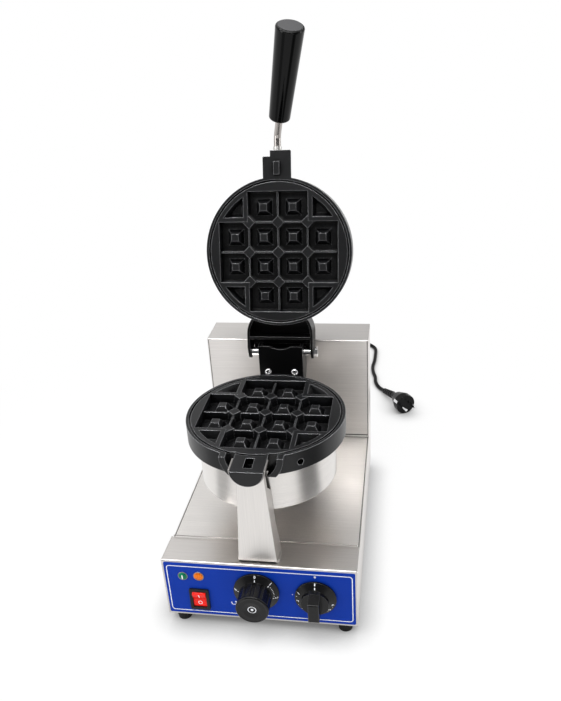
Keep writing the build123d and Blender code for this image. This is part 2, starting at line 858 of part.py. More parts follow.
def strut_bolt_plane(side):
    """Where a bolt of the strut stands on its foot, square to the strip."""
    bolt_at = (side * strut_bolt_side, depth(strut_bolt_place), strip_top(strut_bolt_place) + strut_sheet)
    return Plane(bolt_at, (1, 0, 0), strip_normal)


with BuildPart() as front_cover:
    with BuildSketch(beside(-inner_half)):
        with BuildLine():
            outer = FilletPolyline(
                (0, casing_bottom),
                (0, panel_top),
                (strip_depth, ridge_height),
                (strip_depth, pan_height + seam_gap),
                radius=bend_radius,
            )
            inner = FilletPolyline(
                (sheet, casing_bottom),
                (sheet, strip_top(sheet) - sheet),
                (strip_depth - sheet, strip_top(strip_depth - sheet) - sheet),
                (strip_depth - sheet, pan_height + seam_gap),
                radius=bend_radius - sheet,
            )
            Line(outer @ 0, inner @ 0)
            Line(outer @ 1, inner @ 1)
        make_face()
    extrude(amount=2 * inner_half)
    with BuildSketch(across(sheet)):
        with Locations(timer_place, thermostat_place):
            Circle(control_hole_radius)
        with Locations(green_place, orange_place):
            Circle(lamp_body_radius + fit_gap)
        with Locations(switch_place):
            Rectangle(switch_body_width + 2 * fit_gap, switch_body_height + 2 * fit_gap)
    extrude(amount=sheet, mode=Mode.SUBTRACT)
    for side in (-1, 1):
        with BuildSketch(strut_bolt_plane(side)):
            Circle(strut_bolt_radius + fit_gap)
        extrude(amount=-strut_bolt_length, mode=Mode.SUBTRACT)
front_cover.part.label = "front_cover"
export_step(front_cover.part, "parts/front_cover.step")

with BuildPart() as control_panel:
    with BuildSketch(across(0)):
        with Locations((0, (casing_bottom + panel_top) / 2)):
            RectangleRounded(
                body_width - 2 * panel_side_margin,
                panel_top - casing_bottom - 2 * panel_edge_margin,
                bend_radius,
            )
        with Locations(timer_place, thermostat_place):
            Circle(control_hole_radius, mode=Mode.SUBTRACT)
        with Locations(green_place, orange_place):
            Circle(lamp_body_radius + fit_gap, mode=Mode.SUBTRACT)
        with Locations(switch_place):
            Rectangle(
                switch_body_width + 2 * fit_gap, switch_body_height + 2 * fit_gap, mode=Mode.SUBTRACT
            )
    extrude(amount=panel_sheet)
control_panel.part.label = "control_panel"
export_step(control_panel.part, "parts/control_panel.step")

with BuildPart() as drip_pan:
    with BuildSketch(beside(-inner_half)):
        with BuildLine():
            Polyline(
                (strip_depth - pan_tuck, pan_height),
                (strip_depth - pan_tuck, pan_height - sheet),
                (tower_front, pan_height - sheet),
                (tower_front, pan_height + pan_upstand),
                (tower_front - sheet, pan_height + pan_upstand),
                (tower_front - sheet, pan_height),
                close=True,
            )
        make_face()
    extrude(amount=2 * inner_half)
drip_pan.part.label = "drip_pan"
export_step(drip_pan.part, "parts/drip_pan.step")

with BuildPart() as tower_cover:
    with BuildSketch(beside(-inner_half)):
        with BuildLine():
            outer = FilletPolyline(
                (tower_front, pan_height + pan_upstand + pan_reveal),
                (tower_front, tower_top),
                (body_depth, tower_top),
                radius=bend_radius,
            )
            inner = FilletPolyline(
                (tower_front + sheet, pan_height + pan_upstand + pan_reveal),
                (tower_front + sheet, tower_top - sheet),
                (body_depth, tower_top - sheet),
                radius=bend_radius - sheet,
            )
            Line(outer @ 0, inner @ 0)
            Line(outer @ 1, inner @ 1)
        make_face()
    extrude(amount=2 * inner_half)
    with BuildSketch(across(tower_front + sheet)):
        with Locations((0, axis_height)):
            Circle(shaft_hole_radius)
    extrude(amount=sheet, mode=Mode.SUBTRACT)
tower_cover.part.label = "tower_cover"
export_step(tower_cover.part, "parts/tower_cover.step")

for label, inner_side in (("side_left", -half_width), ("side_right", half_width - sheet)):
    with BuildPart() as side_sheet:
        with BuildSketch(beside(inner_side)):
            with BuildLine():
                Polyline(
                    (0, casing_bottom),
                    (0, panel_top),
                    (strip_depth, ridge_height),
                    (strip_depth, pan_height),
                    (tower_front, pan_height),
                    (tower_front, tower_top),
                    (body_depth, tower_top),
                    (body_depth, casing_bottom),
                    close=True,
                )
            make_face()
        extrude(amount=sheet)
    side_sheet.part.label = label
    export_step(side_sheet.part, f"parts/{label}.step")

with BuildPart() as back_panel:
    with BuildSketch(across(body_depth)):
        with Locations((0, casing_bottom)):
            Rectangle(
                2 * inner_half, tower_top - sheet - casing_bottom, align=(Align.CENTER, Align.MIN)
            )
        with Locations((0, back_vent_height)):
            with GridLocations(back_vent_spacing, vent_pitch, 2, vent_rows):
                SlotOverall(vent_slot_length, vent_slot_width, mode=Mode.SUBTRACT)
        with Locations((gland_side, gland_height)):
            Circle(gland_hole_radius, mode=Mode.SUBTRACT)
    extrude(amount=sheet)
back_panel.part.label = "back_panel"
export_step(back_panel.part, "parts/back_panel.step")

foot_places = [
    (side * (half_width - foot_side_inset), place)
    for side in (-1, 1)
    for place in (foot_end_inset, body_depth - foot_end_inset)
]
with BuildPart() as bottom_plate:
    with BuildSketch(level(casing_bottom)):
        with Locations((0, body_depth / 2)):
            Rectangle(2 * inner_half, body_depth - 2 * sheet)
            with GridLocations(bottom_vent_spacing, vent_pitch, 2, vent_rows):
                SlotOverall(vent_slot_length, vent_slot_width, mode=Mode.SUBTRACT)
        with Locations(*foot_places):
            Circle(foot_screw_radius + fit_gap, mode=Mode.SUBTRACT)
    extrude(amount=sheet)
bottom_plate.part.label = "bottom_plate"
export_step(bottom_plate.part, "parts/bottom_plate.step")

foot_labels = ("foot_front_left", "foot_rear_left", "foot_front_right", "foot_rear_right")
for label, place in zip(foot_labels, foot_places):
    with BuildPart() as foot:
        with BuildSketch(level(foot_height)):
            with Locations(place):
                Circle(foot_radius)
        with BuildSketch(level(0)):
            with Locations(place):
                Circle(foot_radius - foot_taper)
        loft()
        with BuildSketch(level(0)):
            with Locations(place):
                Circle(foot_screw_head + fit_gap)
        extrude(amount=foot_screw_recess, mode=Mode.SUBTRACT)
        with BuildSketch(level(0)):
            with Locations(place):
                Circle(foot_screw_radius + fit_gap)
        extrude(amount=foot_height, mode=Mode.SUBTRACT)
    foot.part.label = label
    export_step(foot.part, f"parts/{label}.step")

with BuildPart() as foot_screws:
    with BuildSketch(level(foot_screw_recess)):
        with Locations(*foot_places):
            Circle(foot_screw_radius)
    extrude(amount=foot_height - foot_screw_recess + foot_screw_length)
    with BuildSketch(level(foot_screw_recess)):
        with Locations(*foot_places):
            Circle(foot_screw_head)
    extrude(amount=-foot_screw_radius)
foot_screws.part.label = "foot_screws"
export_step(foot_screws.part, "parts/foot_screws.step")

# Strut in front, the saddle on it that carries the journal, and its bolts
saddle_inside = journal_radius + saddle_clearance
saddle_outside = saddle_inside + saddle_wall
strut_slant = (strut_foot_width - strut_top_width) / 2 / (axis_height - saddle_outside - panel_top)


def strut_half_width(height, inset):
    """Half the width of the strut's channel at a height, outside or a sheet further in."""
    return strut_foot_width / 2 - (height - panel_top) * strut_slant - inset


with BuildPart() as strut:
    for inset, start in ((0, strut_front), (strut_sheet, strut_front + strut_sheet)):
        with BuildSketch(across(strut_foot_rear)):
            with BuildLine():
                Polyline(
                    (-strut_half_width(pan_height, inset), pan_height),
                    (-strut_half_width(axis_height, inset), axis_height),
                    (strut_half_width(axis_height, inset), axis_height),
                    (strut_half_width(pan_height, inset), pan_height),
                    close=True,
                )
            make_face()
        extrude(amount=strut_foot_rear - start, mode=Mode.SUBTRACT if inset else Mode.ADD)
    with BuildSketch(beside(-strut_foot_width)):
        with BuildLine():
            Polyline(
                (strut_front, strip_top(strut_front) + strut_foot_gap),
                (strut_front + strut_sheet, strip_top(strut_front + strut_sheet) + strut_foot_gap),
                (strut_front + strut_sheet, strip_top(strut_front + strut_sheet)),
                (strut_foot_rear, strip_top(strut_foot_rear)),
                (strut_foot_rear, strut_foot_top),
                (strut_rear, strut_waist),
                (strut_rear, strut_shoulder),
                (strut_top_rear, strut_neck),
                (strut_top_rear, axis_height),
                (strut_front, axis_height),
                close=True,
            )
        make_face()
    extrude(amount=2 * strut_foot_width, mode=Mode.INTERSECT)
    with BuildSketch(across(strut_foot_rear)):
        with Locations((0, axis_height)):
            Circle(saddle_outside)
    extrude(amount=strut_foot_rear, mode=Mode.SUBTRACT)
    tab_half = strut_half_width(panel_top, -strut_tab_lip)
    with BuildSketch(Plane((0, depth(strut_tab_front), strip_top(strut_tab_front)), (1, 0, 0), strip_normal)):
        with Locations((0, (strut_tab_rear - strut_tab_front) / 2)):
            RectangleRounded(2 * tab_half, strut_tab_rear - strut_tab_front, strut_tab_rounding)
    extrude(amount=strut_sheet)
    for side in (-1, 1):
        with BuildSketch(strut_bolt_plane(side)):
            Circle(strut_bolt_radius + fit_gap)
        extrude(amount=-strut_sheet - fit_gap, mode=Mode.SUBTRACT)
strut.part.label = "strut"
export_step(strut.part, "parts/strut.step")

with BuildPart() as saddle:
    with BuildSketch(across(saddle_rear)):
        with Locations((0, axis_height)):
            Circle(saddle_outside)
            Circle(saddle_inside, mode=Mode.SUBTRACT)
            Rectangle(
                2 * saddle_outside, saddle_outside, align=(Align.CENTER, Align.MAX), mode=Mode.INTERSECT
            )
    extrude(amount=saddle_rear - saddle_front)
saddle.part.label = "saddle"
export_step(saddle.part, "parts/saddle.step")

with BuildPart() as strut_bolts:
    for side in (-1, 1):
        with BuildSketch(strut_bolt_plane(side)):
            Circle(strut_bolt_radius)
        extrude(amount=-strut_bolt_length)
        with BuildSketch(strut_bolt_plane(side)):
            RegularPolygon(strut_bolt_head, 6)
        extrude(amount=bolt_head_height)
strut_bolts.part.label = "strut_bolts"
export_step(strut_bolts.part, "parts/strut_bolts.step")


# Controls, made on planes whose sketch y points out of the panel
def outward(place):
    """A level plane through a control, with the distance in front of the panel as sketch y."""
    return Plane((place[0], panel_y, place[1]), (1, 0, 0), (0, 0, -1))


def control_axis(place):
    """The line through a control, square to the panel."""
    return Axis((place[0], panel_y, place[1]), (0, -1, 0))


lamps = (("green_lamp", green_place, green_radius), ("orange_lamp", orange_place, orange_radius))
for label, place, lens_radius in lamps:
    with BuildPart() as lamp:
        with BuildSketch(outward(place)):
            with BuildLine():
                dome = TangentArc(
                    (0, panel_sheet + lamp_dome), (lens_radius, panel_sheet + lamp_rim), tangent=(1, 0)
                )
                Polyline(
                    dome @ 1,
                    (lens_radius, panel_sheet),
                    (lamp_body_radius, panel_sheet),
                    (lamp_body_radius, -lamp_body_length),
                    (0, -lamp_body_length),
                    dome @ 0,
                )
            make_face()
        revolve(axis=control_axis(place))
    lamp.part.label = label
    export_step(lamp.part, f"parts/{label}.step")

knob_back = panel_sheet + knob_gap
skirt_top = knob_back + knob_skirt_height
with BuildPart() as timer_knob:
    with BuildSketch(outward(timer_place)):
        with BuildLine():
            dish = TangentArc(
                (0, timer_reach - dish_depth), (dish_radius, timer_reach), tangent=(1, 0)
            )
            shoulder = TangentArc(
                (timer_body_radius, timer_reach - knob_rim),
                (timer_body_radius - knob_rim, timer_reach),
                tangent=(0, 1),
            )
            Line(dish @ 1, shoulder @ 1)
            Polyline(
                shoulder @ 0,
                (timer_body_radius, skirt_top),
                (timer_flange_radius, knob_back + knob_rim),
                (timer_flange_radius, knob_back),
                (0, knob_back),
                dish @ 0,
            )
        make_face()
    revolve(axis=control_axis(timer_place))
    with BuildSketch(across(-skirt_top)):
        with Locations(timer_place):
            with PolarLocations(timer_body_radius + flute_radius - flute_depth, knob_flutes):
                Circle(flute_radius)
    extrude(amount=timer_reach - skirt_top, mode=Mode.SUBTRACT)
    with BuildSketch(across(-knob_back)):
        with Locations(timer_place):
            Circle(control_shaft_radius + fit_gap)
    extrude(amount=control_shaft_end, mode=Mode.SUBTRACT)
timer_knob.part.label = "timer_knob"
export_step(timer_knob.part, "parts/timer_knob.step")

with BuildPart() as thermostat_knob:
    with BuildSketch(outward(thermostat_place)):
        with BuildLine():
            Polyline(
                (0, knob_back),
                (thermostat_flange_radius, knob_back),
                (thermostat_flange_radius, knob_back + knob_rim),
                (thermostat_hub_radius, skirt_top),
                (thermostat_hub_radius, hub_height),
                (0, hub_height),
                close=True,
            )
        make_face()
    revolve(axis=control_axis(thermostat_place))
    with BuildSketch(beside(thermostat_place[0] - pointer_width / 2)):
        with BuildLine():
            Polyline(
                (-skirt_top, thermostat_place[1] - pointer_length / 2),
                (-thermostat_reach, thermostat_place[1] - pointer_front_length / 2),
                (-thermostat_reach, thermostat_place[1] + pointer_front_length / 2),
                (-skirt_top, thermostat_place[1] + pointer_length / 2),
                close=True,
            )
        make_face()
    extrude(amount=pointer_width)
    fillet(thermostat_knob.edges().group_by(Axis.Y)[0], knob_rim)
    with BuildSketch(across(-knob_back)):
        with Locations(thermostat_place):
            Circle(control_shaft_radius + fit_gap)
    extrude(amount=control_shaft_end, mode=Mode.SUBTRACT)
thermostat_knob.part.label = "thermostat_knob"
export_step(thermostat_knob.part, "parts/thermostat_knob.step")

bearings = (
    ("timer", timer_place, timer_box),
    ("thermostat", thermostat_place, thermostat_box),
)
for name, place, box in bearings:
    with BuildPart() as control_shaft:
        with BuildSketch(across(control_shaft_end)):
            with Locations(place):
                Circle(control_shaft_radius)
        extrude(amount=2 * control_shaft_end + knob_back)
    control_shaft.part.label = f"{name}_shaft"
    export_step(control_shaft.part, f"parts/{name}_shaft.step")

    with BuildPart() as control_body:
        with BuildSketch(across(sheet)):
            with Locations(place):
                Rectangle(box[0], box[2])
        extrude(amount=-box[1])
        with BuildSketch(across(sheet)):
            with Locations(place):
                Circle(control_shaft_radius + shaft_clearance)
        extrude(amount=-control_shaft_end, mode=Mode.SUBTRACT)
    control_body.part.label = f"{name}_body"
    export_step(control_body.part, f"parts/{name}_body.step")

rocker_radius = rocker_height / 2
bay_half_width = rocker_width / 2 + rocker_play
with BuildPart() as switch_housing:
    with BuildSketch(across(0)):
        with Locations(switch_place):
            RectangleRounded(switch_width, switch_height, bend_radius)
    extrude(amount=panel_sheet + switch_rim_height)
    with BuildSketch(across(0)):
        with Locations(switch_place):
            Rectangle(switch_width, switch_height)
    extrude(amount=panel_sheet, mode=Mode.SUBTRACT)
    with BuildSketch(across(switch_body_depth)):
        with Locations(switch_place):
            Rectangle(switch_body_width, switch_body_height)
    extrude(amount=switch_body_depth + panel_sheet)
    with BuildSketch(across(rocker_bay_depth)):
        with Locations(switch_place):
            Rectangle(2 * bay_half_width, 2 * (rocker_radius + rocker_play))
    extrude(amount=rocker_bay_depth + panel_sheet + switch_rim_height, mode=Mode.SUBTRACT)
    with BuildSketch(beside(switch_place[0] - switch_body_width / 2)):
        with Locations((rocker_pivot_depth, switch_place[1])):
            Circle(rocker_pin_radius + shaft_clearance)
    extrude(amount=switch_body_width, mode=Mode.SUBTRACT)
switch_housing.part.label = "switch_housing"
export_step(switch_housing.part, "parts/switch_housing.step")

facet_place = rocker_pivot_depth - rocker_facet_depth
facet_out = rocker_height * tan(radians(rocker_facet_angle))
with BuildPart() as rocker:
    with BuildSketch(beside(switch_place[0] - rocker_width / 2)):
        with Locations((rocker_pivot_depth, switch_place[1])):
            Circle(rocker_radius)
        with BuildLine():
            Polyline(
                (facet_place, switch_place[1] - rocker_height),
                (facet_place, switch_place[1]),
                (facet_place - facet_out, switch_place[1] + rocker_height),
                (rocker_pivot_depth + rocker_back_depth, switch_place[1] + rocker_height),
                (rocker_pivot_depth + rocker_back_depth, switch_place[1] - rocker_height),
                close=True,
            )
        make_face(mode=Mode.INTERSECT)
    extrude(amount=rocker_width)
    with BuildSketch(beside(switch_place[0] - rocker_width / 2 - rocker_pin_length)):
        with Locations((rocker_pivot_depth, switch_place[1])):
            Circle(rocker_pin_radius)
    extrude(amount=rocker_width + 2 * rocker_pin_length)
rocker.part.label = "rocker"
export_step(rocker.part, "parts/rocker.step")

with BuildPart() as terminal_block:
    with BuildSketch(level(casing_bottom + sheet)):
        with Locations((terminal_side, body_depth - terminal_inset)):
            Rectangle(terminal_box[0], terminal_box[1])
    extrude(amount=terminal_box[2])
terminal_block.part.label = "terminal_block"
export_step(terminal_block.part, "parts/terminal_block.step")

# Handle on the front lug of the lid: a bent rod, its collar and a tapered grip
clock = radians(rod_clock)
bend = radians(rod_bend)
rod_corner = rod_bend_radius * tan(bend / 2)
rod_plane = local_plane(upper_face, (0, lug_end, rod_height), (0, -1, 0), (cos(clock), 0, sin(clock)))


def along_rod(distance):
    """A plane across the rod's free end, at a distance past the end of its bend."""
    reach = rod_corner + distance
    place = (rod_straight + rod_corner + reach * cos(bend), reach * sin(bend), 0)
    base = rod_plane.from_local_coords(Vector(0, 0, 0))
    direction = rod_plane.from_local_coords(Vector(cos(bend), sin(bend), 0)) - base
    return Plane(rod_plane.from_local_coords(Vector(*place)), rod_plane.z_dir, direction)


with BuildPart() as handle_rod:
    with BuildLine(rod_plane):
        reach = rod_corner + rod_free + rod_in_grip
        FilletPolyline(
            (-rod_socket, 0),
            (rod_straight + rod_corner, 0),
            (rod_straight + rod_corner + reach * cos(bend), reach * sin(bend)),
            radius=rod_bend_radius,
        )
    rod_start = rod_plane.from_local_coords(Vector(-rod_socket, 0, 0))
    with BuildSketch(Plane(rod_start, rod_plane.z_dir, rod_plane.x_dir)):
        Circle(rod_radius)
    sweep()
handle_rod.part.label = "handle_rod"
export_step(handle_rod.part, "parts/handle_rod.step")

with BuildPart() as handle_collar:
    with BuildSketch(Plane(rod_plane.origin, rod_plane.z_dir, rod_plane.x_dir)):
        Circle(collar_radius)
        Circle(rod_radius + fit_gap, mode=Mode.SUBTRACT)
    extrude(amount=collar_length)
handle_collar.part.label = "handle_collar"
export_step(handle_collar.part, "parts/handle_collar.step")

grip_start = rod_free
cap_radius = grip_tip_radius - grip_end_rounding
with BuildPart() as handle_grip:
    with BuildSketch(along_rod(grip_start)):
        Circle(grip_root_radius)
    with BuildSketch(along_rod(grip_start + grip_length)):
        Circle(grip_tip_radius)
    loft()
    grip_end = along_rod(grip_start + grip_length)
    fillet(handle_grip.edges().filter_by(GeomType.CIRCLE), grip_end_rounding)
    with BuildSketch(along_rod(grip_start)):
        Circle(rod_radius + fit_gap)
    extrude(amount=rod_in_grip, mode=Mode.SUBTRACT)
    with BuildSketch(grip_end):
        Circle(cap_radius + fit_gap)
    extrude(amount=-grip_cap_length, mode=Mode.SUBTRACT)
handle_grip.part.label = "handle_grip"
export_step(handle_grip.part, "parts/handle_grip.step")

with BuildPart() as grip_cap:
    with BuildSketch(grip_end.offset(-grip_cap_length)):
        Circle(cap_radius)
    extrude(amount=grip_cap_length + grip_cap_proud)
grip_cap.part.label = "grip_cap"
export_step(grip_cap.part, "parts/grip_cap.step")

# Supply cord: gland, lead to the floor, coil, loose tail and plug
with BuildPart() as cord_gland:
    with BuildSketch(outward((gland_side, gland_height))):
        with BuildLine():
            Polyline(
                (0, -body_depth + gland_inside),
                (gland_hole_radius - fit_gap, -body_depth + gland_inside),
                (gland_hole_radius - fit_gap, -body_depth),
                (gland_flange_radius, -body_depth),
                (gland_flange_radius, -body_depth - gland_flange_length),
                (gland_root_radius, -body_depth - gland_flange_length),
                (gland_tip_radius, -body_depth - gland_length),
                (0, -body_depth - gland_length),
                close=True,
            )
        make_face()
    revolve(axis=control_axis((gland_side, gland_height)))
cord_gland.part.label = "cord_gland"
export_step(cord_gland.part, "parts/cord_gland.step")

cord_height = cord_diameter / 2 + cord_lift
coil_pitch = cord_diameter + coil_gap
coil_top = cord_height + coil_pitch
widening = [coil_inner_radius + coil_ease + step * coil_pitch / 2 for step in (1, 2, 3)]
coil_radii = [widening[1], widening[0], coil_inner_radius, coil_inner_radius, *widening]
lead_points = [(56, 414, 30), (56, 444, 30), (56, 484, cord_height), (56, 520, cord_height)]
tail_points = [
    (60, 534.8, coil_top),
    (60, 566, coil_top),
    (57, 608, cord_height),
    (46, 655, cord_height),
    (37, 712, cord_height),
    (35, 770, cord_height),
    (35, 832.4, cord_height),
    (59.6, 857, cord_height),
    (94.4, 857, cord_height),
    (119, 832.4, cord_height),
    (118.5, 796, cord_height),
    (118, 766, cord_height),
    (114, 738, cord_height),
    (117, 710, cord_height),
    (122.5, 690, cord_height),
    (122.5, 672, cord_height),
    (127.7, 652.7, cord_height),
    (135.2, 639.7, cord_height),
    (142.4, 627.2, 7.15),
]


def cord_tube(route):
    """A tube along a route of straight runs, with the largest arcs that its runs allow."""
    points = [Vector(x, depth(y), z) for x, y, z in route]
    radii = []
    for before, corner, after in zip(points, points[1:], points[2:]):
        half_turn = radians((corner - before).get_angle(after - corner) / 2)
        shorter = min((corner - before).length, (after - corner).length)
        radii.append(0.45 * shorter / tan(half_turn))
    print("cord radii", [round(radius, 1) for radius in radii])
    with BuildPart() as tube:
        with BuildLine() as line:
            FilletPolyline(*points, radius=radii)
        with BuildSketch(Plane(points[0], z_dir=points[1] - points[0])):
            Circle(cord_diameter / 2)
        sweep()
    length = line.wires()[0].length
    straight_volume = length * pi * cord_diameter**2 / 4
    print("cord length", round(length, 1), "volume ratio", tube.part.volume / straight_volume)
    return tube


for label, route in (("cord_lead", lead_points), ("cord_tail", tail_points)):
    cord = cord_tube(route)
    cord.part.label = label
    export_step(cord.part, f"parts/{label}.step")

with BuildPart() as cord_coil:
    with BuildLine() as coil_line:
        side = 1
        height = cord_height
        start = Vector(coil_centre[0] + coil_radii[0], depth(coil_centre[1]), height)
        Line(start - Vector(0, cord_diameter, 0), start)
        for index, radius in enumerate(coil_radii[1:]):
            if radius == coil_radii[index]:
                height = coil_top
            end = Vector(coil_centre[0] - side * radius, depth(coil_centre[1]), height)
            middle = (start + end) / 2 + Vector(0, side * (end - start).length / 2, 0)
            TangentArc(start, middle, tangent=(0, side, 0))
            TangentArc(middle, end, tangent=end - start)
            start = end
            side = -side
        Line(start, start + Vector(0, cord_diameter, 0))
    with BuildSketch(Plane(coil_line.wires()[0] @ 0, z_dir=(0, 1, 0))):
        Circle(cord_diameter / 2)
    sweep()
cord_coil.part.label = "cord_coil"
export_step(cord_coil.part, "parts/cord_coil.step")
coil_wire = coil_line.wires()[0]
samples = [coil_wire @ (step / coil_samples) for step in range(coil_samples + 1)]
skip = int(coil_samples * 3 * cord_diameter / coil_wire.length)
least = min(
    (one - other).length
    for index, one in enumerate(samples)
    for other in samples[index + skip :]
)
print("coil length", round(coil_wire.length, 1), "least gap", round(least - cord_diameter, 2))

tail_end = Vector(tail_points[-1][0], depth(tail_points[-1][1]), tail_points[-1][2])
tail_before = Vector(tail_points[-2][0], depth(tail_points[-2][1]), tail_points[-2][2])
relief_start = Plane(tail_end, z_dir=tail_end - tail_before)
relief_end = relief_start.offset(relief_length)
plug_axis = Vector(cos(radians(plug_turn)), sin(radians(plug_turn)), 0)
plug_back = Plane((relief_end.origin.X, relief_end.origin.Y, plug_radius + cord_lift), z_dir=plug_axis)
plug_face = plug_back.offset(plug_back_length + plug_face_length)
with BuildPart() as plug_body:
    with BuildSketch(plug_back):
        Circle(plug_back_radius)
    with BuildSketch(plug_back.offset(plug_back_length)):
        Circle(plug_radius)
    loft()
    with BuildSketch(plug_back.offset(plug_back_length)):
        Circle(plug_radius)
    extrude(amount=plug_face_length)
    with BuildSketch(relief_start):
        Circle(relief_tip_radius)
    with BuildSketch(relief_end.offset(relief_tip_radius)):
        Circle(relief_root_radius)
    loft()
    with BuildSketch(plug_face):
        with GridLocations(plug_pin_spacing, 1, 2, 1):
            Circle(plug_pin_radius + fit_gap)
    extrude(amount=-plug_pin_socket, mode=Mode.SUBTRACT)
plug_body.part.label = "plug_body"
export_step(plug_body.part, "parts/plug_body.step")

with BuildPart() as plug_pins:
    with BuildSketch(plug_face.offset(-plug_pin_socket)):
        with GridLocations(plug_pin_spacing, 1, 2, 1):
            Circle(plug_pin_radius)
    extrude(amount=plug_pin_socket + plug_pin_length)
    pin_ends = plug_face.offset(plug_pin_length).origin
    fillet(plug_pins.edges().sort_by_distance(pin_ends)[:2], plug_pin_radius / 2)
plug_pins.part.label = "plug_pins"
export_step(plug_pins.part, "parts/plug_pins.step")
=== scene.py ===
from math import cos, pi, radians, sin

import bmesh
import bpy
from mathutils import Matrix, Vector
from mathutils.bvhtree import BVHTree


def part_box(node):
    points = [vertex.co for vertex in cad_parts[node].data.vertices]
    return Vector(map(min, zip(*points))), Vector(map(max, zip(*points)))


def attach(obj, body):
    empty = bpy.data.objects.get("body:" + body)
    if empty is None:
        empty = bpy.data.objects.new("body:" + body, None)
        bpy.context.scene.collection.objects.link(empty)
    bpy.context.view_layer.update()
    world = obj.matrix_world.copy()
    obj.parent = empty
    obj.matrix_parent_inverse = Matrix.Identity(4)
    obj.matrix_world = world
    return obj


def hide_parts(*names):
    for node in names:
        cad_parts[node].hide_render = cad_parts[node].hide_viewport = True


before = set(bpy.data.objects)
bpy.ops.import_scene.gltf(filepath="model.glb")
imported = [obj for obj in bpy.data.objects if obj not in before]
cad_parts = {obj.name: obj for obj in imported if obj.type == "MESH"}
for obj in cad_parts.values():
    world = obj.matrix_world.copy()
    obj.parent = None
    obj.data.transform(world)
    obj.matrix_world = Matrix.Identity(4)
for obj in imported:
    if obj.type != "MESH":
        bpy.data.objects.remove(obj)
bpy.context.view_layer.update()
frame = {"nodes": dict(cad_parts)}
nodes = frame["nodes"]
scene = bpy.context.scene
mm = 0.001

# Camera, found from the corners of the casing in the photograph
camera_place = Vector((0.17169, -0.86655, 0.74194))
camera_yaw = radians(10.378)
camera_pitch = radians(26.023)
camera_roll = radians(-3.722)
camera_lens = 46.527
camera_sensor = 36.0

# Places that the pieces are worked out from, in metres
panel_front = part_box("control_panel")[0].y
hinge_place = Vector((0, 0.080, 0.271))
open_turn = radians(105.2)

# The panel's plane, which the cord's depths are counted from, and two sizes of the drip pan, in mm
panel_plane = -190.0
pan_upstand = 3.2
pan_sheet = 1.2

# Supply cord. The points of its route are to the right, behind the panel's plane and up, in mm
cord_diameter = 7.4 * mm
cord_height = 3.9
coil_top = 11.9
coil_centre = (10.0, 527.4)
coil_radii = (46.0, 42.0, 37.0, 37.0, 42.0, 46.0, 50.0)
coil_steps = 8
lead_points = [(56, 414, 30), (56, 444, 30), (56, 484, cord_height), (56, 520, cord_height)]
tail_points = [
    (60, 534.8, coil_top),
    (60, 566, coil_top),
    (57, 608, cord_height),
    (46, 655, cord_height),
    (37, 712, cord_height),
    (35, 770, cord_height),
    (35, 832.4, cord_height),
    (59.6, 857, cord_height),
    (94.4, 857, cord_height),
    (119, 832.4, cord_height),
    (118.5, 796, cord_height),
    (118, 766, cord_height),
    (114, 738, cord_height),
    (117, 710, cord_height),
    (122.5, 690, cord_height),
    (122.5, 672, cord_height),
    (127.7, 652.7, cord_height),
    (135.2, 639.7, cord_height),
    (142.4, 627.2, 7.15),
]


class Wire:
    """A socket of a node tree, on which Python arithmetic adds Math nodes."""

    def __init__(self, nodes, socket):
        self.nodes = nodes
        self.socket = socket

    def maths(self, operation, *others, clamp=False):
        settings = {"operation": operation, "use_clamp": clamp}
        return self.nodes.node("ShaderNodeMath", settings, dict(enumerate((self, *others))))

    def __add__(self, other):
        return self.maths("ADD", other)

    def __sub__(self, other):
        return self.maths("SUBTRACT", other)

    def __mul__(self, other):
        return self.maths("MULTIPLY", other)

    def __radd__(self, other):
        return self + other

    def __rmul__(self, other):
        return self * other

    def __rsub__(self, other):
        return self.nodes.node("ShaderNodeMath", {"operation": "SUBTRACT"}, {0: other, 1: self})

    def held(self, low, high):
        """The value as a share of the way from low to high, kept between 0 and 1."""
        values = {"Value": self, "From Min": low, "From Max": high}
        return self.nodes.node("ShaderNodeMapRange", {"clamp": True}, values)


class Nodes:
    """A node tree of a material or of the world."""

    def __init__(self, owner):
        owner.use_nodes = True
        self.tree = owner.node_tree

    def put(self, socket, value):
        if isinstance(value, Wire):
            self.tree.links.new(value.socket, socket)
        elif socket.type == "RGBA" and len(value) == 3:
            socket.default_value = (*value, 1.0)
        else:
            socket.default_value = value

    def node(self, kind, settings=None, values=None, output=0):
        """A new node with its settings, then the values or links of its sockets."""
        node = self.tree.nodes.new(kind)
        for name, setting in (settings or {}).items():
            setattr(node, name, setting)
        for socket, value in (values or {}).items():
            self.put(node.inputs[socket], value)
        return Wire(self, node.outputs[output])

    def seen(self):
        """1 for what the camera sees straight on, in a mirror or through glass."""
        camera, glossy, through = [
            self.node("ShaderNodeLightPath", output=name)
            for name in ("Is Camera Ray", "Is Glossy Ray", "Is Transmission Ray")
        ]
        return (camera + glossy).maths("ADD", through, clamp=True)


# The share of open air round an edge, from the one in a corner to the one that stands clear
standing_clear = (0.72, 0.96)


